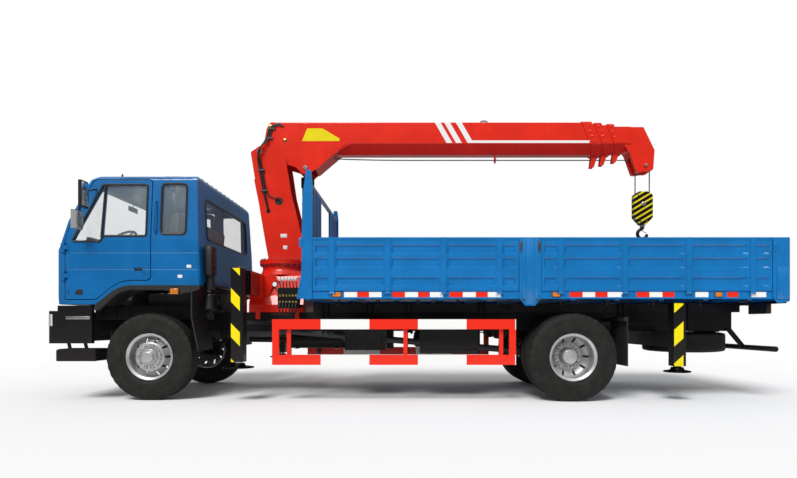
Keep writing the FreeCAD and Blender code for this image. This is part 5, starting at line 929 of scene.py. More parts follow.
def flank_seals(hand, side):
    shape = bmesh.new()
    add_tube(shape, from_side(side, rounded(DOOR_WINDOW), flank_skin), SEAL, closed=True)
    add_tube(shape, from_side(side, [(-0.547, 1.96), (-0.534, 2.28), (-0.521, 2.60)], flank_skin), SEAL)
    put(f"door_window_seal_{hand}", shape, plastic, f"{hand}_door")
    shape = bmesh.new()
    add_tube(shape, from_side(side, rounded(SIDE_WINDOW), flank_skin), SEAL, closed=True)
    put(f"side_window_seal_{hand}", shape, plastic, "cab")


on_both_sides(flank_seals)
shape = bmesh.new()
for outline, way, radius in ((WINDSCREEN, -1, SEAL * 1.3), (REAR_WINDOW, 1, SEAL)):
    outside = [at(2 * way, y, z) for y, z in rounded(outline)]
    add_tube(shape, laid_on(front_skin, outside, (way, 0, 0)), radius, closed=True)
put("end_window_seals", shape, plastic, "cab")
print("seals laid")

# %% Roof ribs, antenna and grab bars
GUTTER = [(-0.62, 2.672), (-0.45, 2.688), (0.0, 2.695), (0.50, 2.688)]
ribs = bmesh.new()
for index in range(11):
    line = [at(behind, -0.85 + 0.17 * index, ABOVE_ROOF) for behind in (0.10, 0.22, 0.34, 0.46, 0.56)]
    add_tube(ribs, laid_on(shell_skin, line, (0, 0, -1), -0.006), 0.018, count=8)
put("roof_ribs", ribs, cab_paint, "cab")
gutter = bmesh.new()
for side in (-1, 1):
    add_tube(gutter, from_side(side, GUTTER, flank_skin), 0.010)
put("roof_gutters", gutter, cab_paint, "cab")
antenna = bmesh.new()
foot = laid_on(shell_skin, [at(-0.44, 0.86, ABOVE_ROOF)], (0, 0, -1))[0]
add_turned(antenna, [(-0.01, 0.028), (0.012, 0.026), (0.022, 0.012), (0.05, 0.009), (0.055, 0.0)],
           foot, (0, 0, 1), 16)
put("antenna_base", antenna, plastic, "cab")


def grab_bar(hand, side):
    """A bar behind the door, bent out from two round feet."""
    shape = bmesh.new()
    foot, head = from_side(side, [(0.098, 2.03), (0.098, 2.40)], flank_skin)
    out, up = Vector((0, side * 0.045, 0)), Vector((0, 0, 0.05))
    add_tube(shape, [foot, foot + out * 0.9, foot + out + up, head + out - up, head + out * 0.9, head],
             0.0105, smooth=4)
    for end in (foot, head):
        add_turned(shape, [(-0.004, 0.020), (0.006, 0.018)], end, (0, side, 0), 16)
    put(f"grab_bar_{hand}", shape, cab_paint, "cab")


on_both_sides(grab_bar)
print("roof and grab bars done")

# %% Handles, blank badges and labels
def oblong(low, high):
    """The corners of an upright oblong, given two of them as (behind, z)."""
    return [low, (low[0], high[1]), high, (high[0], low[1])]


def flat_label(shape, side, outline, tree, thickness=0.003):
    """A thin blank plate laid on a flank."""
    corners = from_side(side, outline, tree, 0.001)
    add_slab(shape, corners, (0, side * thickness, 0), 0.0008)


def door_fittings(hand, side):
    """The handle, lock and badge of a door, and the labels, lamp and strip near it."""
    shape = bmesh.new()
    add_block(shape, *spots((-0.146, 1.137, 1.566), (-0.059, 1.150, 1.594), side=side), 0.004)
    add_turned(shape, [(0, 0.011), (0.008, 0.010)], at(-0.035, side * 1.142, 1.545), (0, side, 0), 14)
    flat_label(shape, side, oblong((-0.957, 1.274), (-0.777, 1.340)), flank_skin)
    put(f"door_fittings_{hand}", shape, plastic, f"{hand}_door")
    labels = bmesh.new()
    for behind, z in ((0.397, 1.495), (0.505, 1.615)):
        outline = oblong((behind - 0.028, z - 0.018), (behind + 0.028, z + 0.018))
        flat_label(labels, side, outline, flank_skin, 0.0015)
    put(f"blank_labels_{hand}", labels, white_paint, "cab")
    for name, low, high, rounding, finish, body in (
            ("marker_base", (0.272, 1.120, 1.274), (0.387, 1.150, 1.356), 0.006, plastic, "cab"),
            ("marker_lens", (0.280, 1.140, 1.282), (0.379, 1.164, 1.348), 0.008, amber_lens, "cab"),
            ("bumper_strip", (-0.973, 1.146, 0.980), (-0.683, 1.155, 1.016), 0.003, steel, "truck")):
        shape = bmesh.new()
        add_block(shape, *spots(low, high, side=side), rounding)
        put(f"{name}_{hand}", shape, finish, body)


on_both_sides(door_fittings)
print("door fittings done")

# %% Wipers
def on_screen(y, z, lift):
    """A point on the windscreen, lifted off the glass."""
    return laid_on(front_skin, [at(-2, y, z)], (-1, 0, 0), lift)[0]


wipers = bmesh.new()
for foot_y, tip_y, blade in ((0.62, 0.10, (-0.30, 0.40)), (-0.10, -0.62, (-1.0, -0.32))):
    foot, tip = on_screen(foot_y, 1.885, 0.02), on_screen(tip_y, 2.02, 0.030)
    add_turned(wipers, [(-0.02, 0.020), (0.018, 0.018), (0.022, 0.010)], foot, (1, 0, 0.3), 14)
    add_tube(wipers, [foot, (foot + tip) / 2 + Vector((0.014, 0, 0)), tip], 0.007)
    ends = [on_screen(y, 2.02, 0.014) for y in (blade[0], sum(blade) / 2, blade[1])]
    add_tube(wipers, ends, 0.009)
put("wipers", wipers, plastic, "cab")
print("wipers parked")

# %% Mirror faces and clamps
MIRRORS = (((-0.6565, 1.224, 2.305), (-0.6525, 1.366, 2.585)),
           ((-0.7165, 1.234, 2.055), (-0.7125, 1.356, 2.240)))


def mirror_faces(hand, side):
    """Silvered faces and the clamps that hold the mirrors on their arm."""
    faces = bmesh.new()
    for low, high in MIRRORS:
        add_block(faces, *spots(low, high, side=side), 0.0015)
    put(f"mirror_faces_{hand}", faces, mirror_glass, f"{hand}_door")
    clamps = bmesh.new()
    for behind, z in ((-0.74, 2.20), (-0.715, 2.32), (-0.685, 2.455)):
        add_turned(clamps, [(-0.018, 0.020), (0.018, 0.020)], at(behind, side * 1.29, z),
                   (-0.2, 0, 0.98), 14)
    put(f"mirror_clamps_{hand}", clamps, chrome, f"{hand}_door")


on_both_sides(mirror_faces)
print("mirrors silvered")

# %% Headlamps
RIM_PROFILE = [(-0.008, 0.043), (0.004, 0.043), (0.008, 0.039), (0.002, 0.036)]
GLASS_PROFILE = [(0.001, 0.037), (0.006, 0.030), (0.009, 0.018), (0.010, 0.0)]


def headlamp(hand, side):
    """Twin round lamps side by side."""
    rims, glasses = bmesh.new(), bmesh.new()
    for y in (0.862, 0.957):
        middle = at(-1.2305, side * y, 0.970)
        add_turned(rims, RIM_PROFILE, middle, (1, 0, 0), 28)
        add_turned(glasses, GLASS_PROFILE, middle, (1, 0, 0), 28)
    put(f"headlamp_rims_{hand}", rims, chrome, "truck")
    put(f"headlamp_glasses_{hand}", glasses, clear_lens, "truck")


on_both_sides(headlamp)
print("headlamps done")

# %% Inside the cab
COWL = ((-0.94, 1.90), (-0.90, 2.02), (-0.84, 2.01), (-0.80, 1.90))
DIALS_FACE = Vector((-0.93, 0, 0.36))
inside = bmesh.new()
add_slab(inside, [at(behind, 0.40, z) for behind, z in COWL], (0, 0.44, 0), 0.01)
add_block(inside, at(-0.74, -0.12, 2.49), at(-0.72, 0.12, 2.56), 0.008)
add_tube(inside, spots((-0.73, 0, 2.55), (-0.71, 0, 2.62), (-0.70, 0, 2.66)), 0.006)
add_tube(inside, spots((-0.40, 0.12, 1.58), (-0.38, 0.12, 1.75), (-0.33, 0.13, 1.88)), 0.009)
add_turned(inside, [(0, 0.012), (0.015, 0.024), (0.04, 0.024), (0.055, 0.0)], at(-0.33, 0.13, 1.87),
           (-0.2, 0, 1), 16)
add_tube(inside, spots((-0.68, 0.60, 1.87), (-0.66, 0.50, 1.90), (-0.65, 0.44, 1.92)), 0.007)
for y, far_y in ((-0.85, -0.15), (0.25, 0.85)):
    add_block(inside, at(-0.76, y, 2.60), at(-0.73, far_y, 2.66), 0.010)
put("cab_fittings", inside, plastic, "cab")
tick = unit_mesh(lambda shape: add_block(shape, (0.036, -0.0015, 0), (0.046, 0.0015, 0.003), 0.0003))
dials = bmesh.new()
for y in (0.54, 0.72):
    middle = at(-0.818, y, 1.955)
    add_turned(dials, [(0, 0.055), (0.004, 0.055), (0.006, 0.050)], middle, DIALS_FACE, 28)
    on_dial = facing_along(DIALS_FACE, middle + DIALS_FACE.normalized() * 0.004)
    crown(f"dial_marks_{int(y * 100)}", 12, 0.0001, on_dial, tick, white_paint, "cab")
put("dials", dials, castings, "cab")
print("cab fitted out")

# %% [markdown]
# ## Crane trim
# The hoist rope leaves the winch in the boom's knee, runs under the boom through its guides and
# turns over the sheave in the head. Each telescope section carries a length of it on the same
# line, each a hair thinner than the one before, so the line stays whole when the boom runs out.

# %% Hoist rope
PIVOT, LIFT_FOOT, KNEE = (1.103, 3.280), (1.735, 1.985), (1.719, 3.068)     # behind, z
SHEAVE, SHEAVE_RADIUS = (6.413, 3.120), 0.1
WINCH, WINDING_RADIUS, COILS, PITCH = (1.860, 3.185), 0.068, 13, 0.0165
ROPE_LINE_Z = 3.220
ROPE_RUNS = (("boom", 1.875, 5.720, 0.0080), ("second_section", 3.010, 5.890, 0.0077),
             ("third_section", 3.180, 6.060, 0.0074), ("head_section", 3.350, 6.300, 0.0071))


def round_axis(axis, radius, turn, y=0.0):
    """The point at a turn round an axis that lies across the machine, counted from the top."""
    return at(axis[0] + radius * math.sin(turn), y, axis[1] + radius * math.cos(turn))


wound = bmesh.new()
turns = [2 * math.pi * step / 16 for step in range(COILS * 16)]
add_tube(wound, [round_axis(WINCH, WINDING_RADIUS, turn, -0.116 + PITCH * turn / (2 * math.pi))
                 for turn in turns], 0.0078, smooth=2, count=8)
put("wound_rope", wound, rope_steel, "boom", angle=60)
for body, start, end, radius in ROPE_RUNS:
    line = [at(behind, 0, ROPE_LINE_Z) for behind in (start, (start + end) / 2, end)]
    if body == "boom":
        line[:1] = at(start, 0, ROPE_LINE_Z + 0.033), at(2.4, 0, ROPE_LINE_Z)
    if body == "head_section":
        line += [round_axis(SHEAVE, SHEAVE_RADIUS, turn) for turn in (0, 0.4, 0.8, 1.2, 1.57)]
    shape = bmesh.new()
    add_tube(shape, line, radius, smooth=4)
    put(f"rope_on_{body}", shape, rope_steel, body, angle=60)
print("rope runs:", len(ROPE_RUNS))

# %% Slew ring bolts and pins
SLEW_AXIS = 1.390
PINS = (("pivot", PIVOT, 0.219, 0.036, "column"), ("lift_foot", LIFT_FOOT, 0.215, 0.030, "column"),
        ("knee", KNEE, 0.178, 0.030, "boom"), ("sheave", SHEAVE, 0.122, 0.022, "head_section"))
SIGN = ((1.673, 3.435), (1.743, 3.609), (1.953, 3.609), (2.188, 3.470), (2.188, 3.435))
bolt, small_bolt = unit_mesh(hex_nut(0.026, 0.016)), unit_mesh(hex_nut(0.015, 0.008))
crown("slew_ring_bolts", 24, 0.305, Matrix.Translation(at(SLEW_AXIS, 0, 1.8003)), bolt, steel, "column")
crown("slew_ring_nuts", 24, 0.310, facing_along((0, 0, -1), at(SLEW_AXIS, 0, 1.740)), bolt, steel,
      "truck")


def pins_and_signs(hand, side):
    """Caps on the crane's pins, plugs and a blank sign on the boom, labels on the column."""
    out = (0, side, 0)
    for name, (behind, z), reach, radius, body in PINS:
        shape = bmesh.new()
        add_turned(shape, [(-0.002, radius), (0.008, radius), (0.012, radius * 0.85)],
                   at(behind, side * reach, z), out, 28)
        put(f"{name}_pin_cap_{hand}", shape, steel, body)
        place = facing_along(out, at(behind, side * (reach + 0.011), z))
        crown(f"{name}_pin_bolts_{hand}", 3, radius * 0.55, place, small_bolt, steel, body)
    plugs = bmesh.new()
    for behind, z in ((1.439, 3.444), (1.240, 3.635)):
        add_turned(plugs, [(-0.002, 0.026), (0.006, 0.026), (0.009, 0.020)],
                   at(behind, side * 0.170, z), out, 20)
    put(f"boom_plugs_{hand}", plugs, brass, "boom")
    sign = bmesh.new()
    add_slab(sign, [at(behind, side * 0.1702, z) for behind, z in SIGN], (0, side * 0.0015, 0))
    put(f"blank_sign_{hand}", sign, yellow_paint, "boom")
    labels = bmesh.new()
    for behind, z, half in ((1.43, 2.13, 0.045), (1.45, 1.97, 0.028)):
        add_block(labels, *spots((behind - half, 0.2045, z - 0.025), (behind + half, 0.2065, z + 0.025),
                                 side=side), 0.0005)
    put(f"column_labels_{hand}", labels, white_paint, "column")


on_both_sides(pins_and_signs)
print("pins capped")

# %% Hoses on the column and the boom
HOSE = 0.008
PORTS = ((1.228, 2.462, 0.036), (1.367, 2.590, 0.056))      # behind, z, radius
COLUMN_Y, BOOM_Y = 0.215 + HOSE + 0.0005, 0.182             # where the hoses lie on each
CLIPS = (("hose_clips", "column", ((1.150, 2.74), (1.108, 3.02)), (-0.024, 0.064), (0.203, 0.2385)),
         ("boom_hose_clips", "boom", ((1.215, 3.47), (1.250, 3.60)), (-0.040, 0.060), (0.168, 0.1945)))
# The hoses lie side by side where they cross the pivot's axis, so they turn there without touching.
for index in range(3):
    shift, crossing = 0.022 * index, 0.2495 + 0.0175 * index
    behind, z = PORTS[0 if index < 2 else 1][:2]
    inlet = at(behind + 0.012 * (index - 1), COLUMN_Y - 0.013, z)
    shape = bmesh.new()
    add_tube(shape, [inlet, inlet + Vector((0.010, 0.012, 0.05)), *spots(
        (1.168 + shift, COLUMN_Y, 2.66), (1.132 + shift, COLUMN_Y, 2.84),
        (1.098 + shift, COLUMN_Y, 3.05),
        (1.080 + shift * 0.8, COLUMN_Y + 0.4 * (crossing - COLUMN_Y), 3.16),
        (1.084 + shift * 0.3, crossing, 3.225), (PIVOT[0], crossing, PIVOT[1] + 0.002))],
        HOSE, smooth=4, count=12)
    put(f"column_hose_{index}", shape, hose_rubber, "column", angle=60)
    shape = bmesh.new()
    add_tube(shape, spots(
        (PIVOT[0], crossing, PIVOT[1] - 0.002), (1.122 + shift * 0.3, crossing, 3.335),
        (1.158 + shift, 0.5 * (crossing + BOOM_Y), 3.40), (1.185 + shift, BOOM_Y, 3.47),
        (1.225 + shift, BOOM_Y, 3.60), (1.290 + shift, BOOM_Y, 3.665),
        (1.38 + shift, BOOM_Y, 3.675 - shift)), HOSE, smooth=4, count=12)
    put(f"boom_hose_{index}", shape, hose_rubber, "boom", angle=60)
for name, body, places, (start, end), (inner, outer) in CLIPS:
    clips = bmesh.new()
    for behind, z in places:
        low, high = at(behind + start, inner, z - 0.012), at(behind + end, outer, z + 0.012)
        add_block(clips, low, high, 0.003)
    put(name, clips, castings, body)
print("hoses run")

# %% Ports in the column's cheeks
column_skin = skin_of("crane_column")
LIP = ((-0.002, 1), (0.003, 1), (0.005, 0.94), (0.004, 0.86), (0.0005, 0.84))


def column_ports(hand, side):
    """Rubber-lipped round ports, dark inside, that the hoses go into."""
    lips, wells = bmesh.new(), bmesh.new()
    for behind, z, radius in PORTS:
        middle = from_side(side, [(behind, z)], column_skin)[0]
        add_turned(lips, [(along, radius * share) for along, share in LIP], middle, (0, side, 0), 32)
        add_turned(wells, [(0.0006, radius * 0.86), (0.0012, radius * 0.86)], middle, (0, side, 0), 32)
    put(f"port_lips_{hand}", lips, hose_rubber, "column")
    put(f"port_wells_{hand}", wells, plastic, "column")


on_both_sides(column_ports)
print("ports on the column")

# %% Pipes on the lift cylinder
foot, head = at(LIFT_FOOT[0], 0, LIFT_FOOT[1]), at(KNEE[0], 0, KNEE[1])
along = (head - foot).normalized()
PIPE = ((0.20, 0.80), (0.24, 1), (0.5, 1), (0.80, 1), (0.845, 0.9))     # up the barrel, share out
pipes, straps = bmesh.new(), bmesh.new()
for side in (-1, 1):
    out = Vector((-0.02, side * 0.098, 0))
    add_tube(pipes, [foot + along * reach + out * share for reach, share in PIPE], 0.008, smooth=4)
    add_turned(pipes, [(0, 0.014), (0.03, 0.014)], foot + along * 0.185 + out * 0.8, along, 12)
put("cylinder_pipes", pipes, steel, "cylinder_barrel")
for distance in (0.35, 0.62):
    add_turned(straps, [(-0.014, 0.079), (-0.014, 0.086), (0.014, 0.086), (0.014, 0.079)],
               foot + along * distance, along, 36)
put("cylinder_bands", straps, castings, "cylinder_barrel")
print("cylinder piped")

# %% Levers, valve bank and gauge
LEVERS = [1.560 + 0.040 * index for index in range(6)]
LEVER_TOPS, KNOB_FINISH = {"left": 1.370, "right": 1.330}, {"left": white_paint, "right": plastic}
KNOB = [(-0.024, 0.008), (-0.018, 0.016), (0, 0.020), (0.016, 0.016), (0.022, 0.0)]


def valve_bank(hand, side):
    """Knobs on the levers, and the unions and hoses of the valves below them."""
    knobs, spools, hoses = bmesh.new(), bmesh.new(), bmesh.new()
    for behind in LEVERS:
        add_turned(knobs, KNOB, at(behind, side * 1.027, LEVER_TOPS[hand] + 0.104),
                   (0, side * 0.55, 0.83), 16)
        for z in (1.19, 1.27):
            add_turned(spools, [(0, 0.017), (0.018, 0.017), (0.022, 0.012)],
                       at(behind, side * 0.985, z), (0, side, 0), 6)
        add_tube(hoses, spots((behind, 0.996, 1.19), (behind, 1.06, 1.16), (behind + 0.01, 1.04, 1.06),
                              (behind - 0.05, 0.90, 1.03), (behind - 0.18, 0.70, 1.05), side=side),
                 0.009, smooth=4)
    put(f"lever_knobs_{hand}", knobs, KNOB_FINISH[hand], "truck")
    put(f"valve_unions_{hand}", spools, brass, "truck")
    put(f"valve_hoses_{hand}", hoses, hose_rubber, "truck", angle=60)


on_both_sides(valve_bank)
gauge = bmesh.new()
add_turned(gauge, [(0, 0.034), (0.024, 0.034), (0.028, 0.030)], at(1.500, 0.985, 1.41), (0, 1, 0), 28)
add_tube(gauge, spots((1.500, 0.995, 1.38), (1.510, 0.975, 1.33), (1.54, 0.960, 1.31)), 0.008)
put("pressure_gauge", gauge, castings, "truck")
face = bmesh.new()
add_turned(face, [(0, 0.027), (0.001, 0.027)], at(1.500, 1.0122, 1.41), (0, 1, 0), 28)
put("gauge_face", face, white_paint, "truck")
print("controls fitted")

# %% Hook latch, swivel and limit weight
HOOK = SHEAVE[0]                                # the block hangs right under the sheave
latch = bmesh.new()
add_tube(latch, spots((HOOK, 0, 2.232), (6.455, 0, 2.205), (6.476, 0, 2.196)), 0.005)
add_turned(latch, [(-0.014, 0.034), (0.012, 0.036), (0.018, 0.030)], at(HOOK, 0, 2.300), (0, 0, -1), 6)
put("hook_latch", latch, steel, "hook")
weight = bmesh.new()
add_turned(weight, [(0, 0.014), (0.006, 0.032), (0.075, 0.032), (0.080, 0.014)],
           at(HOOK - 0.1, 0, 2.690), (0, 0, -1), 24)
put("limit_weight", weight, castings, "hook")
bolts = bmesh.new()
for side in (-1, 1):
    add_turned(bolts, [(-0.002, 0.030), (0.010, 0.030), (0.014, 0.024)], at(HOOK, side * 0.048, 2.600),
               (0, side, 0), 24)
    for behind, z in ((6.34, 2.72), (6.486, 2.72), (6.37, 2.36), (6.456, 2.36)):
        add_turned(bolts, [(-0.002, 0.012), (0.007, 0.012)], at(behind, side * 0.048, z),
                   (0, side, 0), 6)
put("block_bolts", bolts, steel, "hook")
print("hook fitted")

# %% [markdown]
# ## The bed's ironwork
# A drop-side bed is held shut by latches on its posts and bolted to its runners from below.
# Lamps sit in the side rail, and hooks for the load's ropes hang under it in an even row.

# %% Lamps and rope hooks on the side rail
rail_skin = skin_of("bed_floor")
RAIL_LAMPS = ((2.230, 2.345), (4.836, 4.938), (6.766, 6.860))


def rope_hook(shape):
    """A round bar bent into an open hook, with its eye plate."""
    add_tube(shape, [(0, 0, 0.030), (0, 0, -0.012), (0, 0.010, -0.034), (0, 0.030, -0.036),
                     (0, 0.040, -0.018)], 0.0055, smooth=2, count=8)
    add_block(shape, (-0.020, -0.004, 0.006), (0.020, 0.006, 0.034), 0.002)


hook_unit = unit_mesh(rope_hook)


def rail_fittings(hand, side):
    """Amber lamps let into the rail, and two rows of hooks under it."""
    housings, lenses = bmesh.new(), bmesh.new()
    face = from_side(side, [(2.29, 1.273)], rail_skin)[0].y
    for low, high in RAIL_LAMPS:
        add_block(housings, at(low, face - side * 0.002, 1.240), at(high, face + side * 0.008, 1.306),
                  0.004)
        add_block(lenses, at(low + 0.007, face, 1.247), at(high - 0.007, face + side * 0.016, 1.299),
                  0.007)
    put(f"rail_lamp_housings_{hand}", housings, plastic, "truck")
    put(f"rail_lamp_lenses_{hand}", lenses, amber_lens, "truck")
    for name, start, end in (("front", 2.30, 4.20), ("rear", 4.95, 7.15)):
        hooks = row.grow(hook_unit, Count=5, Start=(0, 0, 0), End=(start - end, 0, 0),
                         Finish=black_paint)
        place = Matrix.Translation(at(start, side * 1.205, 1.176)) @ Matrix.Diagonal((1, side, 1, 1))
        set_down(f"rope_hooks_{name}_{hand}", hooks, black_paint, "truck", place)
    print(hand, "rail face at", round(face, 3))


on_both_sides(rail_fittings)

# %% Posts, latches and bolts of the bed
post_skin = skin_of("bed_posts")
gate_skin = skin_of("side_gate_front_left", "side_gate_front_right", "side_gate_rear_left",
                    "side_gate_rear_right")
GATES = {"front": (2.40, 3.09, 3.78), "rear": (5.16, 5.86, 6.56)}      # where the stiffeners stand


def add_heads(shape, side, places, tree, profile):
    """Six-sided bolt heads at places (behind, z) on a flank."""
    for behind, z in places:
        found = tree.ray_cast(at(behind, side * CLEAR_OF_ALL, z), Vector((0, -side, 0)))[0]
        if found is not None:
            add_turned(shape, profile, found, (0, side, 0), 6)


def post_ironwork(hand, side):
    """Raised strips on the centre post, latches at its edges and bolts at its foot."""
    face = from_side(side, [(4.57, 1.6)], post_skin)[0].y

    def plate(shape, start, end, low, high, inner, outer, rounding):
        add_block(shape, at(start, face - side * inner, low), at(end, face + side * outer, high),
                  rounding)

    strips, irons, corner, heads = bmesh.new(), bmesh.new(), bmesh.new(), bmesh.new()
    for start, end in ((4.494, 4.522), (4.636, 4.664)):
        plate(strips, start, end, 1.205, 1.940, 0.004, 0.006, 0.003)
    plate(strips, 4.535, 4.623, 1.160, 1.945, 0.004, 0.003, 0.002)
    put(f"post_strips_{hand}", strips, bed_paint, "truck")
    for behind in (4.470, 4.686):
        plate(irons, behind - 0.016, behind + 0.016, 1.800, 1.900, 0.002, 0.006, 0.002)
        add_turned(irons, [(0, 0.011), (0.007, 0.011), (0.009, 0.007)],
                   at(behind, face + side * 0.002, 1.862), (0, side, 0), 16)
        add_tube(irons, [at(behind, face + side * out, z)
                         for out, z in ((0.006, 1.862), (0.010, 1.83), (0.009, 1.775))], 0.0055)
    for behind in (4.500, 4.658):
        add_turned(irons, [(0, 0.018), (0.005, 0.018), (0.005, 0.012), (0.013, 0.011)],
                   at(behind, face, 1.215), (0, side, 0), 6)
    put(f"post_latches_{hand}", irons, castings, "truck")
    plate(corner, 7.495, 7.640, 1.215, 1.600, 0.004, 0.012, 0.006)
    plate(corner, 7.520, 7.560, 1.26, 1.56, 0, 0.020, 0.005)
    for behind, z in ((7.480, 1.840), (1.862, 1.890)):
        plate(corner, behind - 0.020, behind + 0.020, z - 0.055, z + 0.055, 0.003, 0.007, 0.003)
        add_turned(corner, [(0, 0.011), (0.007, 0.011)], at(behind, face + side * 0.004, z + 0.02),
                   (0, side, 0), 16)
    put(f"corner_latches_{hand}", corner, bed_paint, "truck")
    add_heads(heads, side, ((1.852, 1.40), (1.850, 1.30), (7.58, 1.28)), post_skin,
              [(-0.001, 0.013), (0.006, 0.013), (0.009, 0.009)])
    put(f"post_bolts_{hand}", heads, bed_paint, "truck")


on_both_sides(post_ironwork)


def gate_bolts(hand, side):
    """Two bolt heads at the foot of every stiffener, riding on its own gate."""
    for where, stiffeners in GATES.items():
        heads = bmesh.new()
        add_heads(heads, side, [(behind, z) for behind in stiffeners for z in (1.345, 1.375)],
                  gate_skin, [(-0.001, 0.010), (0.005, 0.010), (0.007, 0.007)])
        put(f"gate_bolts_{where}_{hand}", heads, bed_paint, f"{where}_{hand}_gate")


on_both_sides(gate_bolts)
print("bed ironwork done")

# %% [markdown]
# ## Behind and under the cab
# A forward-control cab breathes through a tall duct on its back wall that ends in bellows over
# the air cleaner. The duct rides on the cab and stops short of the cleaner, so the cab can tilt.
# Splash panels close the wheel arches from the engine.

# %% Intake duct and air cleaner
BELLOWS = [(0.012 * step, 0.058 if step % 2 else 0.048) for step in range(17)]
duct, cleaner = bmesh.new(), bmesh.new()
back_wall = laid_on(shell_skin, [at(2, 0.93, z) for z in (1.86, 1.60)], (1, 0, 0))
wall_behind = FRONT_AXLE_X - min(point.x for point in back_wall)
add_block(duct, at(wall_behind + 0.012, 0.84, 1.52), at(wall_behind + 0.105, 1.03, 1.88), 0.018)
for rib in range(5):
    z = 1.56 + 0.07 * rib
    add_block(duct, at(wall_behind + 0.100, 0.855, z), at(wall_behind + 0.110, 1.015, z + 0.018), 0.003)
add_turned(duct, BELLOWS, at(wall_behind + 0.058, 0.935, 1.53), (0, 0, -1), 24)
put("intake_duct", duct, plastic, "cab")
top = at(wall_behind + 0.058, 0.935, 1.318)
add_turned(cleaner, [(0, 0.050), (0.02, 0.050), (0.03, 0.075), (0.05, 0.085), (0.19, 0.085),
                     (0.20, 0.092), (0.215, 0.092), (0.225, 0.080), (0.24, 0.050)], top, (0, 0, -1), 32)
add_block(cleaner, top + Vector((0.030, -0.42, -0.26)), top + Vector((-0.030, 0.02, -0.215)), 0.006)
add_tube(cleaner, [top + Vector(step) for step in (
    (0, -0.05, -0.12), (0, -0.20, -0.12), (0.05, -0.40, -0.15), (0.10, -0.60, -0.16))], 0.042, count=16)
put("air_cleaner", cleaner, black_paint, "truck")
print("back wall of the cab is", round(wall_behind, 3), "behind the axle")

# %% Splash panels
def splash_panel(hand, side):
    """A pressed panel beside the engine, with stiffening ribs."""
    shape = bmesh.new()
    inner = 0.545
    add_block(shape, *spots((-0.95, inner, 0.98), (0.60, inner + 0.012, 1.165), side=side), 0.004)
    for rib in range(9):
        behind = -0.88 + 0.17 * rib
        add_block(shape, *spots((behind, inner + 0.008, 1.00), (behind + 0.03, inner + 0.022, 1.150),
                                side=side), 0.004)
    put(f"splash_panel_{hand}", shape, plastic, "truck")


on_both_sides(splash_panel)
print("arches closed")

# %% Corner lamps, tail lamp housings and radiator
bumper_skin = skin_of("front_bumper")


def corner_lamp(hand, side):
    """A clear lamp on the bumper's corner, and the housing of the lamps at the tail."""
    shape, housing = bmesh.new(), bmesh.new()
    flat_label(shape, side, oblong((-1.205, 0.900), (-1.130, 1.040)), bumper_skin, 0.010)
    put(f"corner_lamp_{hand}", shape, clear_lens, "truck")
    add_block(housing, *spots((7.545, 0.590, 1.050), (7.600, 0.970, 1.180), side=side), 0.006)
    put(f"tail_lamp_housing_{hand}", housing, plastic, "truck")


on_both_sides(corner_lamp)
radiator = bmesh.new()
add_block(radiator, at(-0.860, -0.33, 0.66), at(-0.760, 0.33, 1.08), 0.010)
fin = unit_mesh(lambda shape: add_block(shape, (0, -0.002, -0.19), (0.012, 0.002, 0.19), 0.0008))
fins = row.grow(fin, Count=50, Start=(0, -0.31, 0), End=(0, 0.31, 0), Finish=castings)
set_down("radiator_fins", fins, castings, "truck", Matrix.Translation(at(-0.862, 0, 0.87)))
put("radiator", radiator, black_paint, "truck")
print("lamps and radiator done")

# %% [markdown]
# ## Under the bed
# A ladder frame is riveted, its bed is clamped to it with long U-bolts, and air and fuel run
# along the rails. The rows of rivets are one small head copied along a line.

# %% Rivets, clamps and pipes on the rails
WEB, CLAMP_Y = 0.430, 0.450
RAIL_PIPES = ((0.925, 6.4), (0.942, 6.4), (0.959, 4.4))     # height, how far back each runs
rivet = unit_mesh(lambda shape: add_turned(shape, [(0, 0.011), (0.005, 0.010), (0.008, 0.005),
                                                   (0.009, 0.0)], (0, 0, 0), (0, 1, 0), 8))


def rail_side(hand, side):
    """Rivets, clamps and pipes on one side of the ladder frame."""
    clamps, pipes = bmesh.new(), bmesh.new()
    for level in (0.868, 1.042):
        heads = row.grow(rivet, Count=40, Start=(0, 0, 0), End=(-5.85, 0, 0), Finish=black_paint)
        set_down(f"rail_rivets_{int(level * 1000)}_{hand}", heads, black_paint, "truck",
                 Matrix.Translation(at(1.450, side * WEB, level)) @ Matrix.Diagonal((1, side, 1, 1)))
    for middle in (2.04, 2.62, 3.14, 4.10, 5.95, 6.80):
        for behind in (middle - 0.035, middle + 0.035):
            add_tube(clamps, [at(behind, side * CLAMP_Y, z) for z in (0.790, 1.00, 1.20)], 0.009)
            add_turned(clamps, [(0, 0.015), (0.014, 0.015)], at(behind, side * CLAMP_Y, 0.808),
                       (0, 0, -1), 6)
        add_block(clamps, *spots((middle - 0.060, 0.400, 0.808), (middle + 0.060, 0.470, 0.822),
                                 side=side), 0.003)
    put(f"bed_clamps_{hand}", clamps, black_paint, "truck")
    for level, far in RAIL_PIPES:
        run = ((0.75, level), (2.2, level - 0.004), (3.6, level + 0.003), (far, level))
        add_tube(pipes, [at(behind, side * (WEB + 0.010), z) for behind, z in run], 0.0065)
    for behind in (1.2, 1.9, 2.72, 3.3, 3.95, 4.35):
        add_block(pipes, *spots((behind - 0.012, WEB - 0.002, 0.912),
                                (behind + 0.012, WEB + 0.020, 0.972), side=side), 0.003)
    put(f"rail_pipes_{hand}", pipes, hose_rubber, "truck", angle=60)


on_both_sides(rail_side)
print("rails dressed")

# %% Springs, dampers and brake chambers
REAR_AXLE = 5.1                                 # behind the front one
CHAMBER = ((0, 0.7), (0.015, 1), (0.040, 1), (0.043, 1.08), (0.050, 1.08), (0.053, 1), (0.085, 0.9),
           (0.095, 0.5))


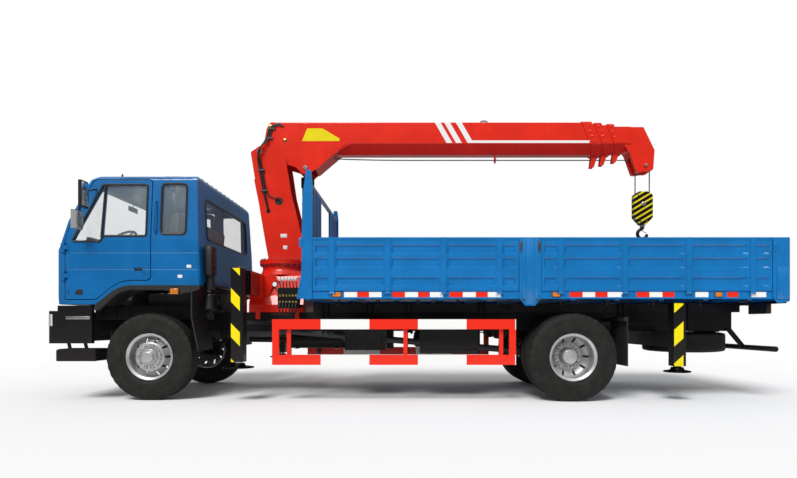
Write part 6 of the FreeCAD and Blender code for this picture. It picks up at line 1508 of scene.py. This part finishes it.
def spring_bolts(hand, side):
    """U-bolts over both axles' springs, with their plates and nuts."""
    bolts = bmesh.new()
    for middle, top in ((0.0, 0.665), (REAR_AXLE, 0.800)):
        for behind in (middle - 0.075, middle + 0.075):
            for y in (0.330, 0.460):
                add_tube(bolts, [at(behind, side * y, z) for z in (0.50, 0.60, top)], 0.0095)
                add_turned(bolts, [(0, 0.016), (0.016, 0.016)], at(behind, side * y, 0.516),
                           (0, 0, -1), 6)
            add_tube(bolts, spots((behind, 0.330, top), (behind, 0.340, top + 0.018),
                                  (behind, 0.450, top + 0.018), (behind, 0.460, top), side=side),
                     0.0095)
        add_block(bolts, *spots((middle - 0.100, 0.315, 0.512), (middle + 0.100, 0.475, 0.530),
                                side=side), 0.004)
    put(f"spring_bolts_{hand}", bolts, castings, "truck")


def running_gear(hand, side):
    """Spring bolts, a damper, and the brake chambers with their hoses."""
    spring_bolts(hand, side)
    damper, pots, hose = bmesh.new(), bmesh.new(), bmesh.new()
    low, high = spots((0.17, 0.560, 0.560), (0.30, 0.500, 0.960), side=side)
    reach = high - low
    add_turned(damper, [(0, 0.012), (0.02, 0.026), (reach.length * 0.52, 0.026)], low, reach, 20)
    add_turned(damper, [(reach.length * 0.40, 0.034), (reach.length * 0.96, 0.034),
                        (reach.length, 0.012)], low, reach, 20)
    put(f"front_damper_{hand}", damper, black_paint, "truck")
    for radius, start in ((0.076, 5.215), (0.070, 5.300)):
        add_turned(pots, [(along, radius * share) for along, share in CHAMBER],
                   at(start, side * 0.515, 0.640), (-1, 0, 0), 28)
    add_tube(pots, spots((5.22, 0.515, 0.640), (5.15, 0.515, 0.635), (5.08, 0.515, 0.625), side=side),
             0.009)
    put(f"brake_chambers_{hand}", pots, castings, "truck")
    for behind in (5.33, 5.35):
        add_tube(hose, spots((behind, 0.515, 0.712), (5.34, 0.505, 0.78), (5.36, 0.46, 0.86),
                             (5.36, 0.44, 0.93), side=side), 0.008)
    put(f"brake_hoses_{hand}", hose, hose_rubber, "truck", angle=60)


on_both_sides(running_gear)
print("running gear dressed")

# %% Tanks and boxes
AIR_TANK_Y = -0.700
trim, taps, straps = bmesh.new(), bmesh.new(), bmesh.new()
for z in (0.700, 0.960):
    for behind, way in ((3.250, 1), (4.000, -1)):
        add_turned(trim, [(-0.001, 0.1245), (0.022, 0.112), (0.038, 0.080), (0.046, 0.0)],
                   at(behind, AIR_TANK_Y, z), (way, 0, 0), 36)
    for behind in (3.46, 3.79):
        add_turned(trim, [(-0.020, 0.1246), (-0.020, 0.1275), (0.020, 0.1275), (0.020, 0.1246)],
                   at(behind, AIR_TANK_Y, z), (1, 0, 0), 40)
    add_turned(taps, [(0, 0.012), (0.018, 0.012), (0.022, 0.006), (0.034, 0.006)],
               at(3.62, AIR_TANK_Y, z - 0.122), (0, 0, -1), 12)
add_turned(trim, [(0, 0.050), (0.016, 0.052), (0.024, 0.046), (0.026, 0.0)], at(3.410, 0.880, 0.955),
           (0, 0, 1), 32)
for rib in range(3):
    behind = 2.43 + 0.165 * rib
    add_block(trim, at(behind, 0.957, 0.625), at(behind + 0.03, 0.970, 0.865), 0.004)
add_block(trim, at(2.335, 0.480, 0.915), at(2.865, 0.972, 0.945), 0.006)
add_block(trim, at(2.265, -0.990, 0.600), at(2.885, -1.006, 0.900), 0.006)
for behind in (2.40, 2.75):
    add_block(trim, at(behind - 0.02, -1.004, 0.830), at(behind + 0.02, -1.018, 0.880), 0.003)
put("tank_trim", trim, black_paint, "truck")
put("drain_taps", taps, brass, "truck")
for behind in (1.45, 2.05):
    add_block(straps, at(behind - 0.020, -0.855, 0.553), at(behind + 0.020, -0.500, 0.559), 0.002)
    add_block(straps, at(behind - 0.020, -0.8555, 0.60), at(behind + 0.020, -0.8505, 0.79), 0.002)
    add_turned(straps, [(0, 0.012), (0.012, 0.012)], at(behind, -0.855, 0.70), (0, -1, 0), 6)
put("silencer_straps", straps, steel, "truck")
print("tanks dressed")

# %% Bolts on the boom's collars and the jacks' heads
BOOM_SKINS = {"boom": skin_of("main_boom"), "second_section": skin_of("boom_section_2"),
              "third_section": skin_of("boom_section_3")}
COLLAR_BOLTS = {"boom": 5.674, "second_section": 5.829, "third_section": 5.999}
COLLAR_RAKE = -0.393                            # how far the collars lean as they rise
JACK, JACK_TOP = (1.095, 1.125), 1.5895         # behind and aside, and the height


def crane_bolts(hand, side):
    """Heads of the slide pads' screws, raked like the collars they hold."""
    for body, behind in COLLAR_BOLTS.items():
        heads = bmesh.new()
        places = [(behind + (z - 3.45) * COLLAR_RAKE, z) for z in (3.43, 3.50, 3.57, 3.64)]
        add_heads(heads, side, places, BOOM_SKINS[body],
                  [(-0.001, 0.014), (0.006, 0.014), (0.009, 0.009)])
        put(f"collar_bolts_{body}_{hand}", heads, red_paint, body)
    caps, unions = bmesh.new(), bmesh.new()
    for along in (-0.055, 0.055):
        for aside in (-0.050, 0.050):
            add_turned(caps, [(0, 0.011), (0.007, 0.011), (0.010, 0.007)],
                       at(JACK[0] + along, side * (JACK[1] + aside), JACK_TOP), (0, 0, 1), 6)
    add_turned(unions, [(0, 0.016), (0.018, 0.016), (0.024, 0.010)],
               at(JACK[0], side * JACK[1], JACK_TOP), (0, 0, 1), 6)
    put(f"jack_head_bolts_{hand}", caps, steel, f"{hand}_beam")
    put(f"jack_head_unions_{hand}", unions, brass, f"{hand}_beam")


on_both_sides(crane_bolts)
print("collars and jacks bolted")

# %% [markdown]
# ## Studio
# A pale floor that fades into a white surround, one broad soft lamp high on the camera's side
# and an even sky. Rays from the camera, and the ones that pass through glass, see a white sky,
# and the sky that lights the paint is dimmer, so that colours stay true. Gloss sees a white
# ceiling above and darker walls at the sides, so the tops and rounded edges shine while the
# flanks keep their full colour.

# %% Sky and lamp
SKY_LIGHT = 0.48
world = bpy.data.worlds.new("studio")
bpy.context.scene.world = world
world.use_nodes = True
world.node_tree.nodes.clear()
sky = Formula(world.node_tree)
seen = sky.node("ShaderNodeLightPath", {}, {}, "Is Camera Ray")
shiny = sky.node("ShaderNodeLightPath", {}, {}, "Is Glossy Ray")
passed = sky.node("ShaderNodeLightPath", {}, {}, "Is Transmission Ray")
direct = (seen + passed).clipped()
around = sky.node("ShaderNodeTexCoord", {}, {}, "Generated")
upward = sky.node("ShaderNodeSeparateXYZ", {}, {"Vector": around}, "Z")
ceiling = sky.node("ShaderNodeMapRange", {"interpolation_type": "SMOOTHSTEP"}, {
    "Value": upward, "From Min": 0.15, "From Max": 0.80, "To Min": 0.12, "To Max": 1.0})
strength = direct * (1 - SKY_LIGHT) + SKY_LIGHT + shiny * (ceiling - SKY_LIGHT)
backdrop = sky.node("ShaderNodeBackground", {}, {"Color": (1, 1, 1), "Strength": strength})
sky.node("ShaderNodeOutputWorld", {}, {"Surface": backdrop})

lamp_data = bpy.data.lights.new("soft_key", "SUN")
lamp_data.energy, lamp_data.angle = 2.4, math.radians(24)
lamp = bpy.data.objects.new("soft_key", lamp_data)
lamp.rotation_euler = (math.radians(-38), math.radians(18), 0)
bpy.context.scene.collection.objects.link(lamp)
print("sky and lamp lit")

# %% Floor
FADE_START, FADE_END, FLOOR_RADIUS = 6.0, 13.0, 14
ground = Finish("studio_floor")
away = ground.node("ShaderNodeVectorMath", {"operation": "LENGTH"}, {0: ground.here()}, "Value")
matt = ground.node("ShaderNodeBsdfDiffuse", {}, {"Color": (0.93, 0.93, 0.93)})
gone = ground.node("ShaderNodeBsdfTransparent", {}, {"Color": (1, 1, 1)})
faded = ground.node("ShaderNodeMixShader", {}, {
    0: ground.spread(away, FADE_START, FADE_END), 1: matt, 2: gone})
ground.node("ShaderNodeOutputMaterial", {}, {"Surface": faded})
bpy.ops.mesh.primitive_circle_add(vertices=96, radius=FLOOR_RADIUS, fill_type="NGON",
                                  location=(0, 0, -0.002))
floor = bpy.context.object
floor.name = "studio_floor"
floor.data.materials.append(ground.material)
print("floor laid")
